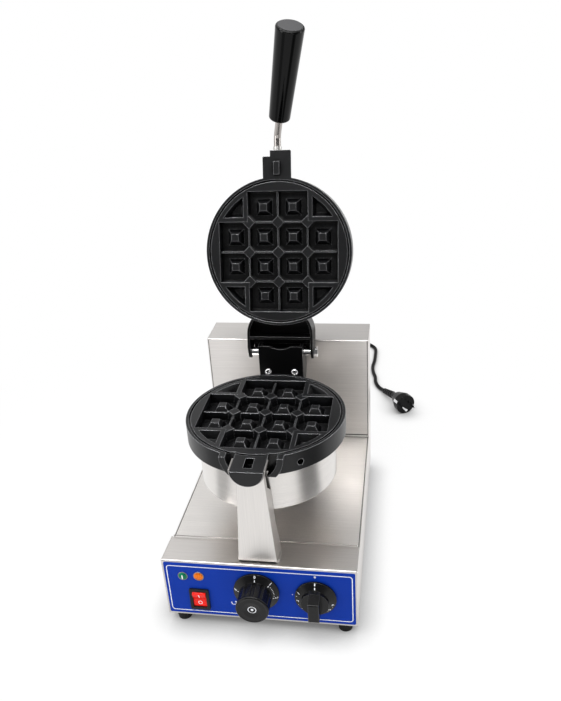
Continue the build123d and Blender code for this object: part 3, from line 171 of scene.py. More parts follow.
class Finish(Nodes):
    """A procedural material under construction, with its constants on the shader's own sockets."""

    def __init__(self, name, **constants):
        self.material = bpy.data.materials.new(name)
        super().__init__(self.material)
        self.shader = self.tree.nodes["Principled BSDF"]
        for socket, value in constants.items():
            self.put(self.shader.inputs[socket.replace("_", " ")], value)

    def place(self, scale=(1, 1, 1), turn=(0, 0, 0)):
        """Object coordinates, turned and then stretched."""
        coordinates = self.node("ShaderNodeTexCoord", output="Object")
        turned = self.node("ShaderNodeMapping", {}, {"Vector": coordinates, "Rotation": turn})
        return self.node("ShaderNodeMapping", {}, {"Vector": turned, "Scale": scale})

    def noise(self, place, scale=1.0, detail=2.0, roughness=0.5):
        values = {"Vector": place, "Scale": scale, "Detail": detail, "Roughness": roughness}
        return self.node("ShaderNodeTexNoise", {}, values, output="Fac")

    def blend(self, share, low, high):
        """A colour that goes from low to high with the share."""
        values = {"Factor": share, 6: low, 7: high}
        return self.node("ShaderNodeMix", {"data_type": "RGBA"}, values, output=2)

    def towards(self, place, way):
        """The cosine between a place seen from the origin and a way."""
        straight = self.node("ShaderNodeVectorMath", {"operation": "NORMALIZE"}, {0: place})
        return self.dot_product(straight, way)

    def dot_product(self, one, other):
        values = {0: one, 1: other}
        return self.node("ShaderNodeVectorMath", {"operation": "DOT_PRODUCT"}, values, output="Value")

    def rounded(self, radius):
        """The surface's normal with its edges rounded off."""
        return self.node("ShaderNodeBevel", {"samples": 6}, {"Radius": radius})

    def open_to_air(self, reach, samples=8):
        """1 where nothing stands within reach, less in corners and below other parts."""
        return self.node("ShaderNodeAmbientOcclusion", {"samples": samples}, {"Distance": reach}, output="AO")

    def outer_edges(self, rounded, reach, sharp=0.25):
        """1 on edges that stand clear, 0 on flat faces and in corners: the mask of the painted edge
        highlights.
        """
        true_normal = self.node("ShaderNodeNewGeometry", output="Normal")
        edges = (1 - self.dot_product(rounded, true_normal)).held(0.0, sharp)
        return edges * self.open_to_air(reach).held(*standing_clear)

    def rough(self, value):
        self.put(self.shader.inputs["Roughness"], value)

    def colour(self, value):
        self.put(self.shader.inputs["Base Color"], value)

    def bump(self, height, distance, strength=1.0, normal=None):
        values = {"Height": height, "Distance": distance, "Strength": strength}
        if normal:
            values["Normal"] = normal
        self.put(self.shader.inputs["Normal"], self.node("ShaderNodeBump", {}, values))


def brushed_steel(name, grain, tone, turn=(0, 0, 0), roughness=0.32, shade=0.45):
    """Stainless sheet with streaks along the axis where grain is small, painted highlights on its outer edges
    and painted shade where parts stand close.
    """
    fine_share = 0.88
    finish = Finish(name, Metallic=1.0)
    rounded = finish.rounded(0.8 * mm)
    fine = finish.noise(finish.place(grain, turn), scale=1.0, detail=3.0, roughness=0.7)
    wide = finish.noise(finish.place([size / 3 for size in grain], turn), scale=1.0, detail=2.0)
    cloud = finish.noise(finish.place(turn=turn), scale=5.0, detail=1.0)
    streaks = fine.held(0.25, 0.75) * fine_share + wide.held(0.3, 0.7) * (1 - fine_share)
    dark = [value * 0.92 for value in tone]
    bright = [min(value * 1.06, 1.0) for value in tone]
    # Painted highlight: outer edges lighter than the sheet
    painted_edge_highlight = [min(value * 1.3, 0.95) for value in tone]
    edge_highlight_share = finish.outer_edges(rounded, reach=4 * mm) * 0.6
    sheet = finish.blend(edge_highlight_share, finish.blend(streaks, dark, bright), painted_edge_highlight)
    # Painted shade: the colour goes towards black where other parts stand close
    shaded = finish.open_to_air(110 * mm).held(0.12, 0.78) * shade + (1 - shade)
    finish.colour(finish.blend(shaded, (0, 0, 0), sheet))
    finish.rough(roughness - 0.03 + streaks * 0.04 + cloud * 0.04)
    finish.bump(fine, distance=0.02 * mm, strength=0.4, normal=rounded)
    return finish.material


# Tones of the stainless pieces, and their grain, stretched where its number is small
steel_tone = (0.76, 0.73, 0.705)
# Painted light: the pan and the tower are lighter copies of the one stainless steel
pan_lit_tone = (0.92, 0.89, 0.86)
tower_lit_tone = (0.82, 0.79, 0.765)
cup_tone = (0.76, 0.735, 0.71)
strut_tone = (0.76, 0.735, 0.71)
# Painted shade: the saddle, in the recess below the head, is a darker copy of the same steel
saddle_shaded_tone = (0.42, 0.40, 0.385)
along_x = (14.0, 1100.0, 1100.0)
along_y = (1100.0, 14.0, 1100.0)
along_z = (1100.0, 1100.0, 14.0)
round_z = (14.0, 14.0, 1100.0)
casing_steel = brushed_steel("casing_steel", along_x, steel_tone)
tower_steel = brushed_steel("tower_steel", along_x, tower_lit_tone)
pan_steel = brushed_steel("pan_steel", along_x, pan_lit_tone, roughness=0.30, shade=0.85)
side_steel = brushed_steel("side_steel", along_y, steel_tone)
strut_steel = brushed_steel("strut_steel", along_z, strut_tone)
saddle_steel = brushed_steel("saddle_steel", along_y, saddle_shaded_tone, roughness=0.34, shade=0.9)
round_steel = brushed_steel("round_steel", round_z, cup_tone, roughness=0.24)
lid_round_steel = brushed_steel("lid_round_steel", round_z, cup_tone, turn=(open_turn, 0, 0), roughness=0.24)


def panel_enamel():
    finish = Finish("panel_blue", Specular_IOR_Level=0.07)
    cloud = finish.noise(finish.place(), scale=14.0, detail=2.0)
    grain = finish.noise(finish.place(), scale=2600.0, detail=2.0)
    finish.colour(finish.blend(cloud, (0.0016, 0.027, 0.27), (0.0030, 0.037, 0.34)))
    finish.rough(0.40 + grain * 0.06)
    finish.bump(grain, distance=0.01 * mm, strength=0.5)
    return finish.material


def plate_coating():
    """A dark non-stick coating, with painted shade in the cells and painted highlights along the casting's
    outer edges.
    """
    # The first colour is painted shade for the cells, the third a painted highlight for the edges
    cell_shade_colour = (0.0006, 0.0006, 0.0007)
    flecks = (0.020, 0.021, 0.023)
    edge_highlight_metal = (0.80, 0.81, 0.84)
    finish = Finish("plate_coating", Specular_IOR_Level=0.32)
    rounded = finish.rounded(0.7 * mm)
    fleck = finish.noise(finish.place(), scale=1800.0, detail=3.0, roughness=0.7)
    cloud = finish.noise(finish.place(), scale=26.0, detail=3.0)
    base = finish.blend(cloud, (0.0032, 0.0033, 0.0037), (0.0060, 0.0062, 0.0070))
    flecked = finish.blend(fleck.held(0.5, 0.75) * 0.25, base, flecks)
    # Painted shade: darker in the cells, where other parts of the casting stand close
    open_air = finish.open_to_air(14 * mm).held(0.45, 0.95)
    # Painted highlight: outer edges bright and metallic
    painted_edge_highlight = finish.outer_edges(rounded, reach=4 * mm, sharp=0.22) * 0.75
    finish.colour(finish.blend(painted_edge_highlight, finish.blend(open_air, cell_shade_colour, flecked), edge_highlight_metal))
    finish.put(finish.shader.inputs["Metallic"], painted_edge_highlight)
    finish.rough(0.19 + open_air * 0.11 + cloud * 0.06 - painted_edge_highlight * 0.10)
    finish.bump(fleck, distance=0.03 * mm, strength=0.4, normal=rounded)
    return finish.material


def black_finish(name, tone, roughness, fleck_size=2200.0, edge_highlight_tone=0.05, shine=0.2):
    """A dark paint, plastic or rubber, with painted highlights along its outer edges."""
    finish = Finish(name, Specular_IOR_Level=shine)
    rounded = finish.rounded(0.6 * mm)
    fleck = finish.noise(finish.place(), scale=fleck_size, detail=2.0)
    cloud = finish.noise(finish.place(), scale=30.0, detail=2.0)
    dark = [value * 0.8 for value in tone]
    bright = [value * 1.25 for value in tone]
    # Painted highlight: outer edges lighter and metallic
    painted_edge_highlight = finish.outer_edges(rounded, reach=3 * mm) * 0.6
    finish.colour(finish.blend(painted_edge_highlight, finish.blend(cloud, dark, bright), (edge_highlight_tone, edge_highlight_tone, edge_highlight_tone)))
    finish.put(finish.shader.inputs["Metallic"], painted_edge_highlight)
    finish.rough(roughness - 0.04 + fleck * 0.08)
    finish.bump(fleck, distance=0.02 * mm, strength=0.4, normal=rounded)
    return finish.material


def bright_plate(name, tone, roughness):
    """Plated or plain bright metal with fine scratches."""
    finish = Finish(name, Metallic=1.0)
    cloud = finish.noise(finish.place(), scale=60.0, detail=2.0)
    scratch = finish.noise(finish.place((900.0, 900.0, 60.0)), scale=1.0, detail=3.0)
    finish.colour(finish.blend(cloud, [value * 0.93 for value in tone], tone))
    finish.rough(roughness + scratch * 0.06)
    finish.bump(scratch, distance=0.01 * mm, strength=0.3, normal=finish.rounded(0.3 * mm))
    return finish.material


def lens(name, dark, bright, painted_glow, facet_size):
    """A domed lamp lens or a clear rocker, with fine facets inside it and a painted glow."""
    finish = Finish(name, Coat_Roughness=0.03, Coat_Weight=0.22, Roughness=0.2, Specular_IOR_Level=0.08)
    facet_values = {"Vector": finish.place(), "Scale": facet_size}
    facets = finish.node("ShaderNodeTexVoronoi", {}, facet_values, output="Distance")
    cloud = finish.noise(finish.place(), scale=160.0, detail=2.0)
    speckle = facets.held(0.2, 0.7) * 0.5 + cloud.held(0.3, 0.7) * 0.5
    finish.colour(finish.blend(speckle, dark, bright))
    # Painted glow: the lens's own colour given off as light
    finish.put(finish.shader.inputs["Emission Color"], finish.blend(speckle, dark, bright))
    finish.shader.inputs["Emission Strength"].default_value = painted_glow
    finish.bump(facets, distance=0.1 * mm, strength=0.5)
    return finish.material


def print_white():
    finish = Finish("print_white", Roughness=0.5)
    cloud = finish.noise(finish.place(), scale=400.0, detail=2.0)
    finish.colour(finish.blend(cloud, (0.74, 0.76, 0.80), (0.86, 0.87, 0.90)))
    return finish.material


panel_blue = panel_enamel()
coating = plate_coating()
bracket_black = black_finish("bracket_black", (0.0016, 0.0016, 0.0018), 0.34, edge_highlight_tone=0.45, shine=0.14)
knob_black = black_finish("knob_black", (0.0036, 0.0036, 0.0040), 0.24, 1500.0, edge_highlight_tone=0.22, shine=0.26)
grip_black = black_finish("grip_black", (0.0004, 0.0004, 0.0005), 0.07, 500.0, edge_highlight_tone=0.50, shine=0.18)
grip_satin = black_finish("grip_satin", (0.036, 0.036, 0.038), 0.42, 2600.0, edge_highlight_tone=0.20, shine=0.3)
body_plastic = black_finish("body_plastic", (0.009, 0.009, 0.010), 0.42)
foot_rubber = black_finish("foot_rubber", (0.006, 0.006, 0.006), 0.6)
cord_black = black_finish("cord_black", (0.0014, 0.0014, 0.0016), 0.36, shine=0.10)
plug_black = black_finish("plug_black", (0.0016, 0.0016, 0.0018), 0.30, shine=0.16)
chrome = bright_plate("chrome", (0.78, 0.78, 0.79), 0.08)
satin_metal = bright_plate("satin_metal", (0.60, 0.59, 0.57), 0.34)
rod_steel = bright_plate("rod_steel", (0.46, 0.43, 0.41), 0.16)
rim_metal = bright_plate("rim_metal", (0.26, 0.26, 0.27), 0.30)
inner_steel = bright_plate("inner_steel", (0.50, 0.49, 0.47), 0.4)
bronze = bright_plate("bush_bronze", (0.55, 0.38, 0.16), 0.35)
green_lens = lens("lens_green", (0.0, 0.045, 0.020), (0.004, 0.20, 0.095), 0.12, 1400.0)
orange_lens = lens("lens_orange", (0.24, 0.040, 0.002), (0.74, 0.17, 0.006), 0.20, 700.0)
rocker_red = lens("rocker_red", (0.52, 0.006, 0.003), (0.80, 0.014, 0.006), 0.18, 500.0)
white_print = print_white()

node_finishes = (
    (casing_steel, "front_cover back_panel bottom_plate"),
    (tower_steel, "tower_cover"),
    (pan_steel, "drip_pan"),
    (side_steel, "side_left side_right"),
    (strut_steel, "strut"),
    (saddle_steel, "saddle"),
    (round_steel, "lower_cover"),
    (lid_round_steel, "upper_cover"),
    (panel_blue, "control_panel"),
    (coating, "lower_plate upper_plate"),
    (bracket_black, "lower_bracket upper_bracket shaft_flange bearing_flange"),
    (knob_black, "timer_knob thermostat_knob"),
    (grip_black, "handle_grip"),
    (grip_satin, "grip_cap"),
    (chrome, "hinge_pins hinge_spacers hinge_nuts flip_screws strut_bolts plug_pins"),
    (rod_steel, "handle_rod"),
    (satin_metal, "handle_collar"),
    (green_lens, "green_lamp"),
    (orange_lens, "orange_lamp"),
    (rocker_red, "rocker"),
    (body_plastic, "switch_housing timer_body thermostat_body terminal_block"),
    (cord_black, "cord_gland"),
    (plug_black, "plug_body"),
    (bronze, "shaft_bushes"),
    (foot_rubber, "foot_front_left foot_front_right foot_rear_left foot_rear_right"),
)
finish_of = {name: finish for finish, names in node_finishes for name in names.split()}
for name, node in nodes.items():
    node.data.materials.clear()
    node.data.materials.append(finish_of.get(name, inner_steel))


def piece_of(name, mesh, material, body="base"):
    """A finished piece at the origin that rides on a body."""
    piece = bpy.data.objects.new(name, mesh)
    scene.collection.objects.link(piece)
    mesh.materials.clear()
    mesh.materials.append(material)
    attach(piece, body)
    return piece


def supply_cord():
    """The lead, a coil of three turns made of half turns, and the loose tail, as one smooth tube."""
    points = list(lead_points)
    side = 1
    height = cord_height
    # The coil climbs onto its second layer where two half turns have the same radius
    for last, radius in zip(coil_radii, coil_radii[1:]):
        rise = coil_top - height if radius == last else 0.0
        start = coil_centre[0] + side * last
        end = coil_centre[0] - side * radius
        middle = (start + end) / 2
        swing = abs(start - end) / 2
        for step in range(1, coil_steps):
            turn = pi * (step - 0.5) / (coil_steps - 1)
            points.append(
                (
                    middle + side * swing * cos(turn),
                    coil_centre[1] + side * swing * sin(turn),
                    height + rise * turn / pi,
                )
            )
        height += rise
        side = -side
    points += tail_points
    curve = bpy.data.curves.new("supply_cord", "CURVE")
    curve.dimensions = "3D"
    spline = curve.splines.new("NURBS")
    spline.points.add(len(points) - 1)
    for point, (x, y, z) in zip(spline.points, points):
        point.co = (x * mm, (y + panel_plane) * mm, z * mm, 1.0)
    spline.order_u = 3
    spline.use_endpoint_u = True
    spline.resolution_u = 4
    curve.bevel_depth = cord_diameter / 2
    curve.bevel_resolution = 3
    curve.use_fill_caps = True
    cord = piece_of("supply_cord", curve, cord_black)
    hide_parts("cord_lead", "cord_coil", "cord_tail")


supply_cord()


# Printed marks, seams, lamp rims, screws and plug fittings, with their own sizes in mm
mark_depth = 0.08 * mm
thermostat_side = 72.5
timer_centre = Vector((-3.0, 0, 64.5)) * mm
thermostat_centre = Vector((thermostat_side, 0, 61.0)) * mm
inwards = Vector((0, 1, 0))
ahead = Vector((0, -0.5, 0))
quarter_turn = Matrix.Rotation(pi / 2, 4, "X")


def seat_on(name, start, ray, up):
    """A frame where a ray meets a node: its z stands on the surface and its y goes along up."""
    tree = BVHTree.FromObject(nodes[name], bpy.context.evaluated_depsgraph_get())
    place, normal, _, _ = tree.ray_cast(Vector(start), Vector(ray))
    right = Vector(up).cross(normal).normalized()
    return Matrix.Translation(place) @ Matrix((right, normal.cross(right), normal)).transposed().to_4x4()


def dial_seat(name, centre, angle, radius):
    """A frame on a dial, at an angle clockwise from its top."""
    outward = Vector((sin(radians(angle)), 0, cos(radians(angle))))
    return seat_on(name, centre + outward * radius * mm + ahead, inwards, outward)


def front_seat(name, x, z):
    return seat_on(name, Vector((x, 0, z)) * mm + ahead, inwards, (0, 0, 1))


def join(bm, part, seat):
    """Adds a loose bmesh or mesh to bm at a seat."""
    if isinstance(part, bmesh.types.BMesh):
        mesh = bpy.data.meshes.new("part")
        part.to_mesh(mesh)
        part.free()
    else:
        mesh = part
    mesh.transform(seat)
    bm.from_mesh(mesh)
    bpy.data.meshes.remove(mesh)


def finish_piece(name, bm, material, body="base", smooth=False):
    """A piece from its bmesh, which is used up."""
    mesh = bpy.data.meshes.new(name)
    bm.to_mesh(mesh)
    bm.free()
    if smooth:
        mesh.shade_smooth()
    return piece_of(name, mesh, material, body)


def letters(text, size):
    """A text as a thin solid with its middle at the origin."""
    curve = bpy.data.curves.new("letters", "FONT")
    curve.body = text
    curve.size = size * mm
    curve.align_x = "CENTER"
    curve.align_y = "CENTER"
    curve.extrude = mark_depth
    curve.offset = 0.12 * mm
    curve.resolution_u = 3
    holder = bpy.data.objects.new("letters", curve)
    scene.collection.objects.link(holder)
    mesh = bpy.data.meshes.new_from_object(holder.evaluated_get(bpy.context.evaluated_depsgraph_get()))
    bpy.data.objects.remove(holder)
    bpy.data.curves.remove(curve)
    return mesh


def raise_faces(bm):
    """Gives flat faces the thickness of a printed mark."""
    bmesh.ops.recalc_face_normals(bm, faces=bm.faces)
    bmesh.ops.solidify(bm, geom=bm.faces[:], thickness=2 * mark_depth)
    bmesh.ops.translate(bm, vec=(0, 0, mark_depth), verts=bm.verts)
    bmesh.ops.recalc_face_normals(bm, faces=bm.faces)
    return bm


def bar(width, height):
    bm = bmesh.new()
    bmesh.ops.create_grid(bm, x_segments=1, y_segments=1, size=mm / 2)
    bmesh.ops.scale(bm, vec=(width, height, 1), verts=bm.verts)
    return raise_faces(bm)


def dot(radius):
    bm = bmesh.new()
    bmesh.ops.create_circle(bm, segments=12, radius=radius * mm, cap_ends=True)
    return raise_faces(bm)


def ring(radius, line, sweep=360.0, start=0.0, lift=0.0):
    """A flat ring, or an arc of one."""
    bm = bmesh.new()
    ends = [bm.verts.new(((radius + side * line / 2) * mm, 0, 0)) for side in (-1, 1)]
    edge = bm.edges.new(ends)
    bmesh.ops.spin(
        bm,
        geom=[*ends, edge],
        cent=(0, 0, 0),
        axis=(0, 0, 1),
        angle=radians(sweep),
        steps=32,
        use_merge=sweep == 360.0,
    )
    bmesh.ops.rotate(bm, cent=(0, 0, 0), matrix=Matrix.Rotation(radians(start), 3, "Z"), verts=bm.verts)
    raise_faces(bm)
    bmesh.ops.translate(bm, vec=(0, 0, lift * mm), verts=bm.verts)
    return bm


def rounded_border(width, height, corner, line):
    """A line along a rectangle with round corners."""
    bm = bmesh.new()
    bmesh.ops.create_grid(bm, x_segments=1, y_segments=1, size=mm / 2)
    bmesh.ops.scale(bm, vec=(width, height, 1), verts=bm.verts)
    bmesh.ops.bevel(
        bm,
        geom=bm.verts[:],
        offset=corner * mm,
        offset_type="OFFSET",
        segments=6,
        profile=0.5,
        affect="VERTICES",
        material=-1,
    )
    bmesh.ops.inset_individual(bm, faces=bm.faces[:], thickness=line * mm)
    middle = max(bm.faces, key=lambda face: face.calc_area())
    bmesh.ops.delete(bm, geom=[middle], context="FACES_ONLY")
    return raise_faces(bm)


def turned(profile, segments=32):
    """A solid turned about z from its profile of radii and heights."""
    bm = bmesh.new()
    points = [bm.verts.new((radius * mm, 0, height * mm)) for radius, height in profile]
    edges = [bm.edges.new(pair) for pair in zip(points, points[1:])]
    bmesh.ops.spin(
        bm,
        geom=points + edges,
        cent=(0, 0, 0),
        axis=(0, 0, 1),
        angle=2 * pi,
        steps=segments,
        use_merge=True,
    )
    bmesh.ops.remove_doubles(bm, verts=bm.verts, dist=0.001 * mm)
    bmesh.ops.recalc_face_normals(bm, faces=bm.faces)
    return bm


def plate_of(points, thickness):
    """A flat plate with a plain outline, in the x and y of a sketch, and its thickness along z."""
    bm = bmesh.new()
    face = bm.faces.new([bm.verts.new((x * mm, y * mm, 0)) for x, y in points])
    grown = bmesh.ops.extrude_face_region(bm, geom=[face])
    raised = [item for item in grown["geom"] if isinstance(item, bmesh.types.BMVert)]
    bmesh.ops.translate(bm, vec=(0, 0, thickness * mm), verts=raised)
    bmesh.ops.recalc_face_normals(bm, faces=bm.faces)
    return bm


def dial_marks(name, centre, body, marks):
    """White marks on a dial, each with its angle, its radius and its shape."""
    bm = bmesh.new()
    for angle, radius, part in marks:
        join(bm, part, dial_seat(name, centre, angle, radius))
    return finish_piece(name + "_marks", bm, white_print, body=body)


def timer_marks():
    figures = ((48, "1"), (100, "2"), (150, "3"), (212, "4"), (280, "5"))
    figure_radius = 26.3
    tick_radius = 22.8
    minute_radius = 23.6
    face_middle = 0.05
    marks = [(0, 26.8, letters("0", size=5.0)), (0, 22.6, bar(1.1, 2.6))]
    marks += [(angle, figure_radius, letters(text, size=5.4)) for angle, text in figures]
    marks += [(angle, tick_radius, bar(0.8, 1.8)) for angle, _ in figures]
    marks += [(angle, minute_radius, dot(0.42)) for angle in range(56, 96, 6)]
    marks += [(0, face_middle, ring(5.0, 0.9, lift=0.22)), (0, face_middle, dot(1.8))]
    dial_marks("timer_knob", timer_centre, "timer", marks)


def thermostat_marks():
    figures = ((294, "1"), (262, "2"), (226, "3"), (153, "4"), (130, "5"), (106, "6"))
    figure_radius = 22.6
    dot_radius = 24.2
    marks = [(0, 24.3, bar(1.3, 3.2)), (0, 19.9, bar(1.3, 2.8))]
    marks += [(angle, figure_radius, letters(text, size=5.0)) for angle, text in figures]
    marks += [(angle, dot_radius, dot(0.45)) for angle in (278, 244, 141, 118)]
    dial_marks("thermostat_knob", thermostat_centre, "thermostat", marks)


def panel_marks():
    """The border line, the thermostat's pointer and the small marks beside the dials."""
    low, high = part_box("control_panel")
    side_margin = 3.2
    edge_margin = 4.2
    bare_side = -50.0
    width = (high.x - low.x) / mm - 2 * side_margin
    height = (high.z - low.z) / mm - 2 * edge_margin
    bare_spot = front_seat("control_panel", bare_side, (low.z + high.z) / 2 / mm)
    bm = bmesh.new()
    border = rounded_border(width, height, corner=4.5, line=1.05)
    join(bm, border, Matrix.Translation((-bare_side * mm, 0, 0)) @ bare_spot)
    for x, z, part in (
        (thermostat_side, 93.5, bar(0.9, 3.4)),
        (thermostat_side, 94.0, ring(0.9, 0.9)),
        (43.0, 62.5, dot(0.6)),
        (-34.5, 41.5, ring(3.0, 0.9, sweep=230.0, start=150.0)),
        (-31.7, 43.4, dot(1.2)),
    ):
        join(bm, part, front_seat("control_panel", x, z))
    finish_piece("panel_marks", bm, white_print)


def rocker_marks():
    """A line for on and a circle for off."""
    rocker_side = -79.5
    bm = bmesh.new()
    for height, part in ((51.2, bar(1.1, 7.0)), (38.2, ring(2.5, 0.8))):
        join(bm, part, front_seat("rocker", rocker_side, height))
    finish_piece("rocker_marks", bm, white_print, body="switch")


def lamp_rims():
    rim_radius = 0.75 * mm
    outside_lens = 0.25 * mm
    bm = bmesh.new()
    for name in ("green_lamp", "orange_lamp"):
        low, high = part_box(name)
        middle = (low + high) / 2
        rim = bmesh.new()
        bmesh.ops.create_circle(rim, segments=10, radius=rim_radius)
        bmesh.ops.rotate(rim, cent=(0, 0, 0), matrix=quarter_turn.to_3x3(), verts=rim.verts)
        bmesh.ops.translate(rim, vec=((high.x - low.x) / 2 + outside_lens, 0, 0), verts=rim.verts)
        bmesh.ops.spin(
            rim,
            geom=rim.verts[:] + rim.edges[:],
            cent=(0, 0, 0),
            axis=(0, 0, 1),
            angle=2 * pi,
            steps=40,
            use_merge=True,
        )
        bmesh.ops.recalc_face_normals(rim, faces=rim.faces)
        join(bm, rim, Matrix.Translation((middle.x, panel_front, middle.z)) @ quarter_turn)
    finish_piece("lamp_rims", bm, rim_metal, smooth=True)


def green_window():
    """The white bar behind the green lens."""
    bm = bmesh.new()
    low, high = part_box("green_lamp")
    middle = (low + high) / 2 / mm
    join(bm, bar(1.5, 6.4), front_seat("green_lamp", middle.x, middle.z))
    finish_piece("green_window", bm, white_print)


def flip_screws():
    """Button screws with a deep round socket, in place of the plain ones."""
    head_radius = 5.4
    head_depth = 3.0
    shank_radius = 2.4
    shank_end = -9.0
    profile = (
        (0, 0.6),
        (2.3, 0.6),
        (2.5, 0.8),
        (2.7, 2.6),
        (3.1, head_depth),
        (4.0, 2.75),
        (4.9, 1.9),
        (head_radius, 0.7),
        (head_radius, 0),
        (shank_radius, 0),
        (shank_radius, shank_end),
        (0, shank_end),
    )
    low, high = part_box("flip_screws")
    bm = bmesh.new()
    for x in (low.x + head_radius * mm, high.x - head_radius * mm):
        place = Vector((x, low.y + head_depth * mm, (low.z + high.z) / 2))
        join(bm, turned(profile), Matrix.Translation(place) @ quarter_turn)
    screws = finish_piece("socket_screws", bm, chrome, "head", smooth=True)
    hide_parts("flip_screws")


def timer_rim():
    """The smooth edge round the timer's face, in front of the flutes."""
    inner = 18.0
    outer = 21.1
    back = 30.2
    front = 34.1
    profile = (
        (inner, back),
        (20.6, back),
        (outer, 30.7),
        (outer, 32.4),
        (20.6, 33.5),
        (19.4, front),
        (inner, front),
        (inner, back),
    )
    bm = bmesh.new()
    seat = Matrix.Translation((timer_centre.x, panel_plane * mm, timer_centre.z)) @ quarter_turn
    join(bm, turned(profile, segments=72), seat)
    finish_piece("timer_rim", bm, knob_black, "timer", smooth=True)


def casing_seams():
    """The dark joints round the drip pan and the tower, and a line of painted shade in the fold at the foot
    of the pan's upstand.
    """
    joint = 0.7
    upright_ends = 3.0
    lying_ends = 2.0
    foot_joint = 1.3
    foot_rise = 0.9
    low, high = (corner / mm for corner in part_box("tower_cover"))
    pan_low, pan_high = (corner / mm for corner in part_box("drip_pan"))
    side = high.x - joint / 2
    upstand_foot = pan_high.z - pan_upstand + joint / 2
    seams = bmesh.new()
    for x in (-side, side):
        upright = Matrix.Translation(Vector((x, low.y, (pan_high.z + high.z) / 2)) * mm) @ quarter_turn
        join(seams, bar(joint, high.z - pan_high.z - upright_ends), upright)
        lying = Matrix.Translation(Vector((x, (pan_low.y + low.y) / 2, pan_low.z + pan_sheet)) * mm)
        join(seams, bar(joint, low.y - pan_low.y - lying_ends), lying)
    for y, z, height in (
        (low.y, pan_high.z + foot_rise, foot_joint),
        # Painted shade: the line in the fold at the foot of the pan's upstand
        (low.y - pan_sheet, upstand_foot, joint),
    ):
        across = Matrix.Translation(Vector((0, y, z)) * mm) @ quarter_turn
        join(seams, bar(2 * side, height), across)
    finish_piece("casing_seams", seams, body_plastic)


def fold_line():
    """The bright fold along the back of the front cover's slope."""
    bead = 0.5
    end_gap = 2.0
    before_edge = 0.8
    below_top = 0.2
    low, high = (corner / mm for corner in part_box("front_cover"))
    half = high.x - end_gap
    fold = Vector((0, high.y - before_edge, high.z - below_top)) * mm
    bm = bmesh.new()
    bead_rod = turned(((0, -half), (bead, -half), (bead, half), (0, half)), segments=12)
    join(bm, bead_rod, Matrix.Translation(fold) @ Matrix.Rotation(pi / 2, 4, "Y"))
    finish_piece("fold_line", bm, rod_steel, smooth=True)


def painted_strut_shadow():
    """A dark bar that stands in for the shadow in the gap below the strut's front edge."""
    gap_height = 2.6
    narrower = 6.0
    behind_edge = 1.0 * mm
    above_cover = 1.1 * mm
    off_middle = 15.0 * mm
    low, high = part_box("strut")
    y = low.y + behind_edge
    cover = seat_on("front_cover", (off_middle, y, high.z), (0, 0, -1), (0, 1, 0)).translation
    bm = bmesh.new()
    seat = Matrix.Translation((0, y, cover.z + above_cover)) @ quarter_turn
    join(bm, bar((high.x - low.x) / mm - narrower, gap_height), seat)
    finish_piece("painted_strut_shadow", bm, body_plastic)


def bracket_lip():
    """The lid bracket's sheet carried on behind the pins, with room for the lower bracket's sides."""
    lip_sheet = 2.7
    above_hinge = 18.1
    wide = 44.2
    slot_inside = 27.6
    slot_outside = 33.4
    near = -9.2
    slot_end = -3.8
    far = 1.4
    outline = [
        (-wide, near),
        (wide, near),
        (wide, far),
        (slot_outside, far),
        (slot_outside, slot_end),
        (slot_inside, slot_end),
        (slot_inside, far),
        (-slot_inside, far),
        (-slot_inside, slot_end),
        (-slot_outside, slot_end),
        (-slot_outside, far),
        (-wide, far),
    ]
    bm = bmesh.new()
    seat = Matrix.Translation(hinge_place) @ Matrix.Rotation(-open_turn, 4, "X")
    join(bm, plate_of(outline, lip_sheet), seat @ Matrix.Translation((0, 0, above_hinge * mm)))
    finish_piece("bracket_lip", bm, bracket_black, "lid")


def plug_fittings():
    """Ribs round the plug's relief and a bright earth clip on each side of its body."""
    relief_length = 55.0
    relief_radius = 5.4
    relief_growth = 2.9
    first_rib = 3.0
    rib_pitch = 8.0
    rib_height = 1.2
    rib_top = 1.0
    rib_foot = 1.4
    plug_turn = radians(-60.0)
    plug_middle = 24.0
    plug_height = 19.2
    clip_half_width = 2.6
    clip_half_length = 6.0
    clip_sheet = 0.8
    clip_rise = 0.45
    well_outside = 0.1
    start = Vector(tail_points[-1])
    along = (start - Vector(tail_points[-2])).normalized()
    turn = along.to_track_quat("Z", "Y").to_matrix().to_4x4()
    to_panel_plane = Vector((0, panel_plane * mm, 0))
    ribs = bmesh.new()
    for step in range(5):
        reach = first_rib + rib_pitch * step
        radius = relief_radius + relief_growth * reach / relief_length
        foot = radius - rib_height
        top = (radius, -rib_top), (radius, rib_top)
        rib = turned(((foot, -rib_foot), *top, (foot, rib_foot), (foot, -rib_foot)))
        join(ribs, rib, Matrix.Translation((start + along * reach) * mm + to_panel_plane) @ turn)
    finish_piece("relief_ribs", ribs, plug_black, smooth=True)
    plug_axis = Vector((cos(plug_turn), sin(plug_turn), 0))
    relief_end = (start + along * relief_length) * mm + to_panel_plane
    middle = Vector((relief_end.x, relief_end.y, plug_height * mm)) + plug_axis * plug_middle * mm
    outline = [
        (-clip_half_width, -clip_half_length),
        (clip_half_width, -clip_half_length),
        (clip_half_width, clip_half_length),
        (-clip_half_width, clip_half_length),
    ]
    clips = bmesh.new()
    for side in (-1, 1):
        reach = Vector((side * plug_axis.y, -side * plug_axis.x, clip_rise)).normalized()
        clip_seat = seat_on("plug_body", middle + reach * well_outside, -reach, plug_axis)
        join(clips, plate_of(outline, clip_sheet), clip_seat)
    finish_piece("earth_clips", clips, chrome)


casing_seams()
fold_line()
painted_strut_shadow()
timer_marks()
timer_rim()
bracket_lip()
plug_fittings()
thermostat_marks()
panel_marks()
rocker_marks()
lamp_rims()
green_window()
flip_screws()


# Floor, light and camera
diffuse_level = 0.55
white_reach = (0.30, 0.80)
floor_share = 0.90
shadow_reach = 0.045


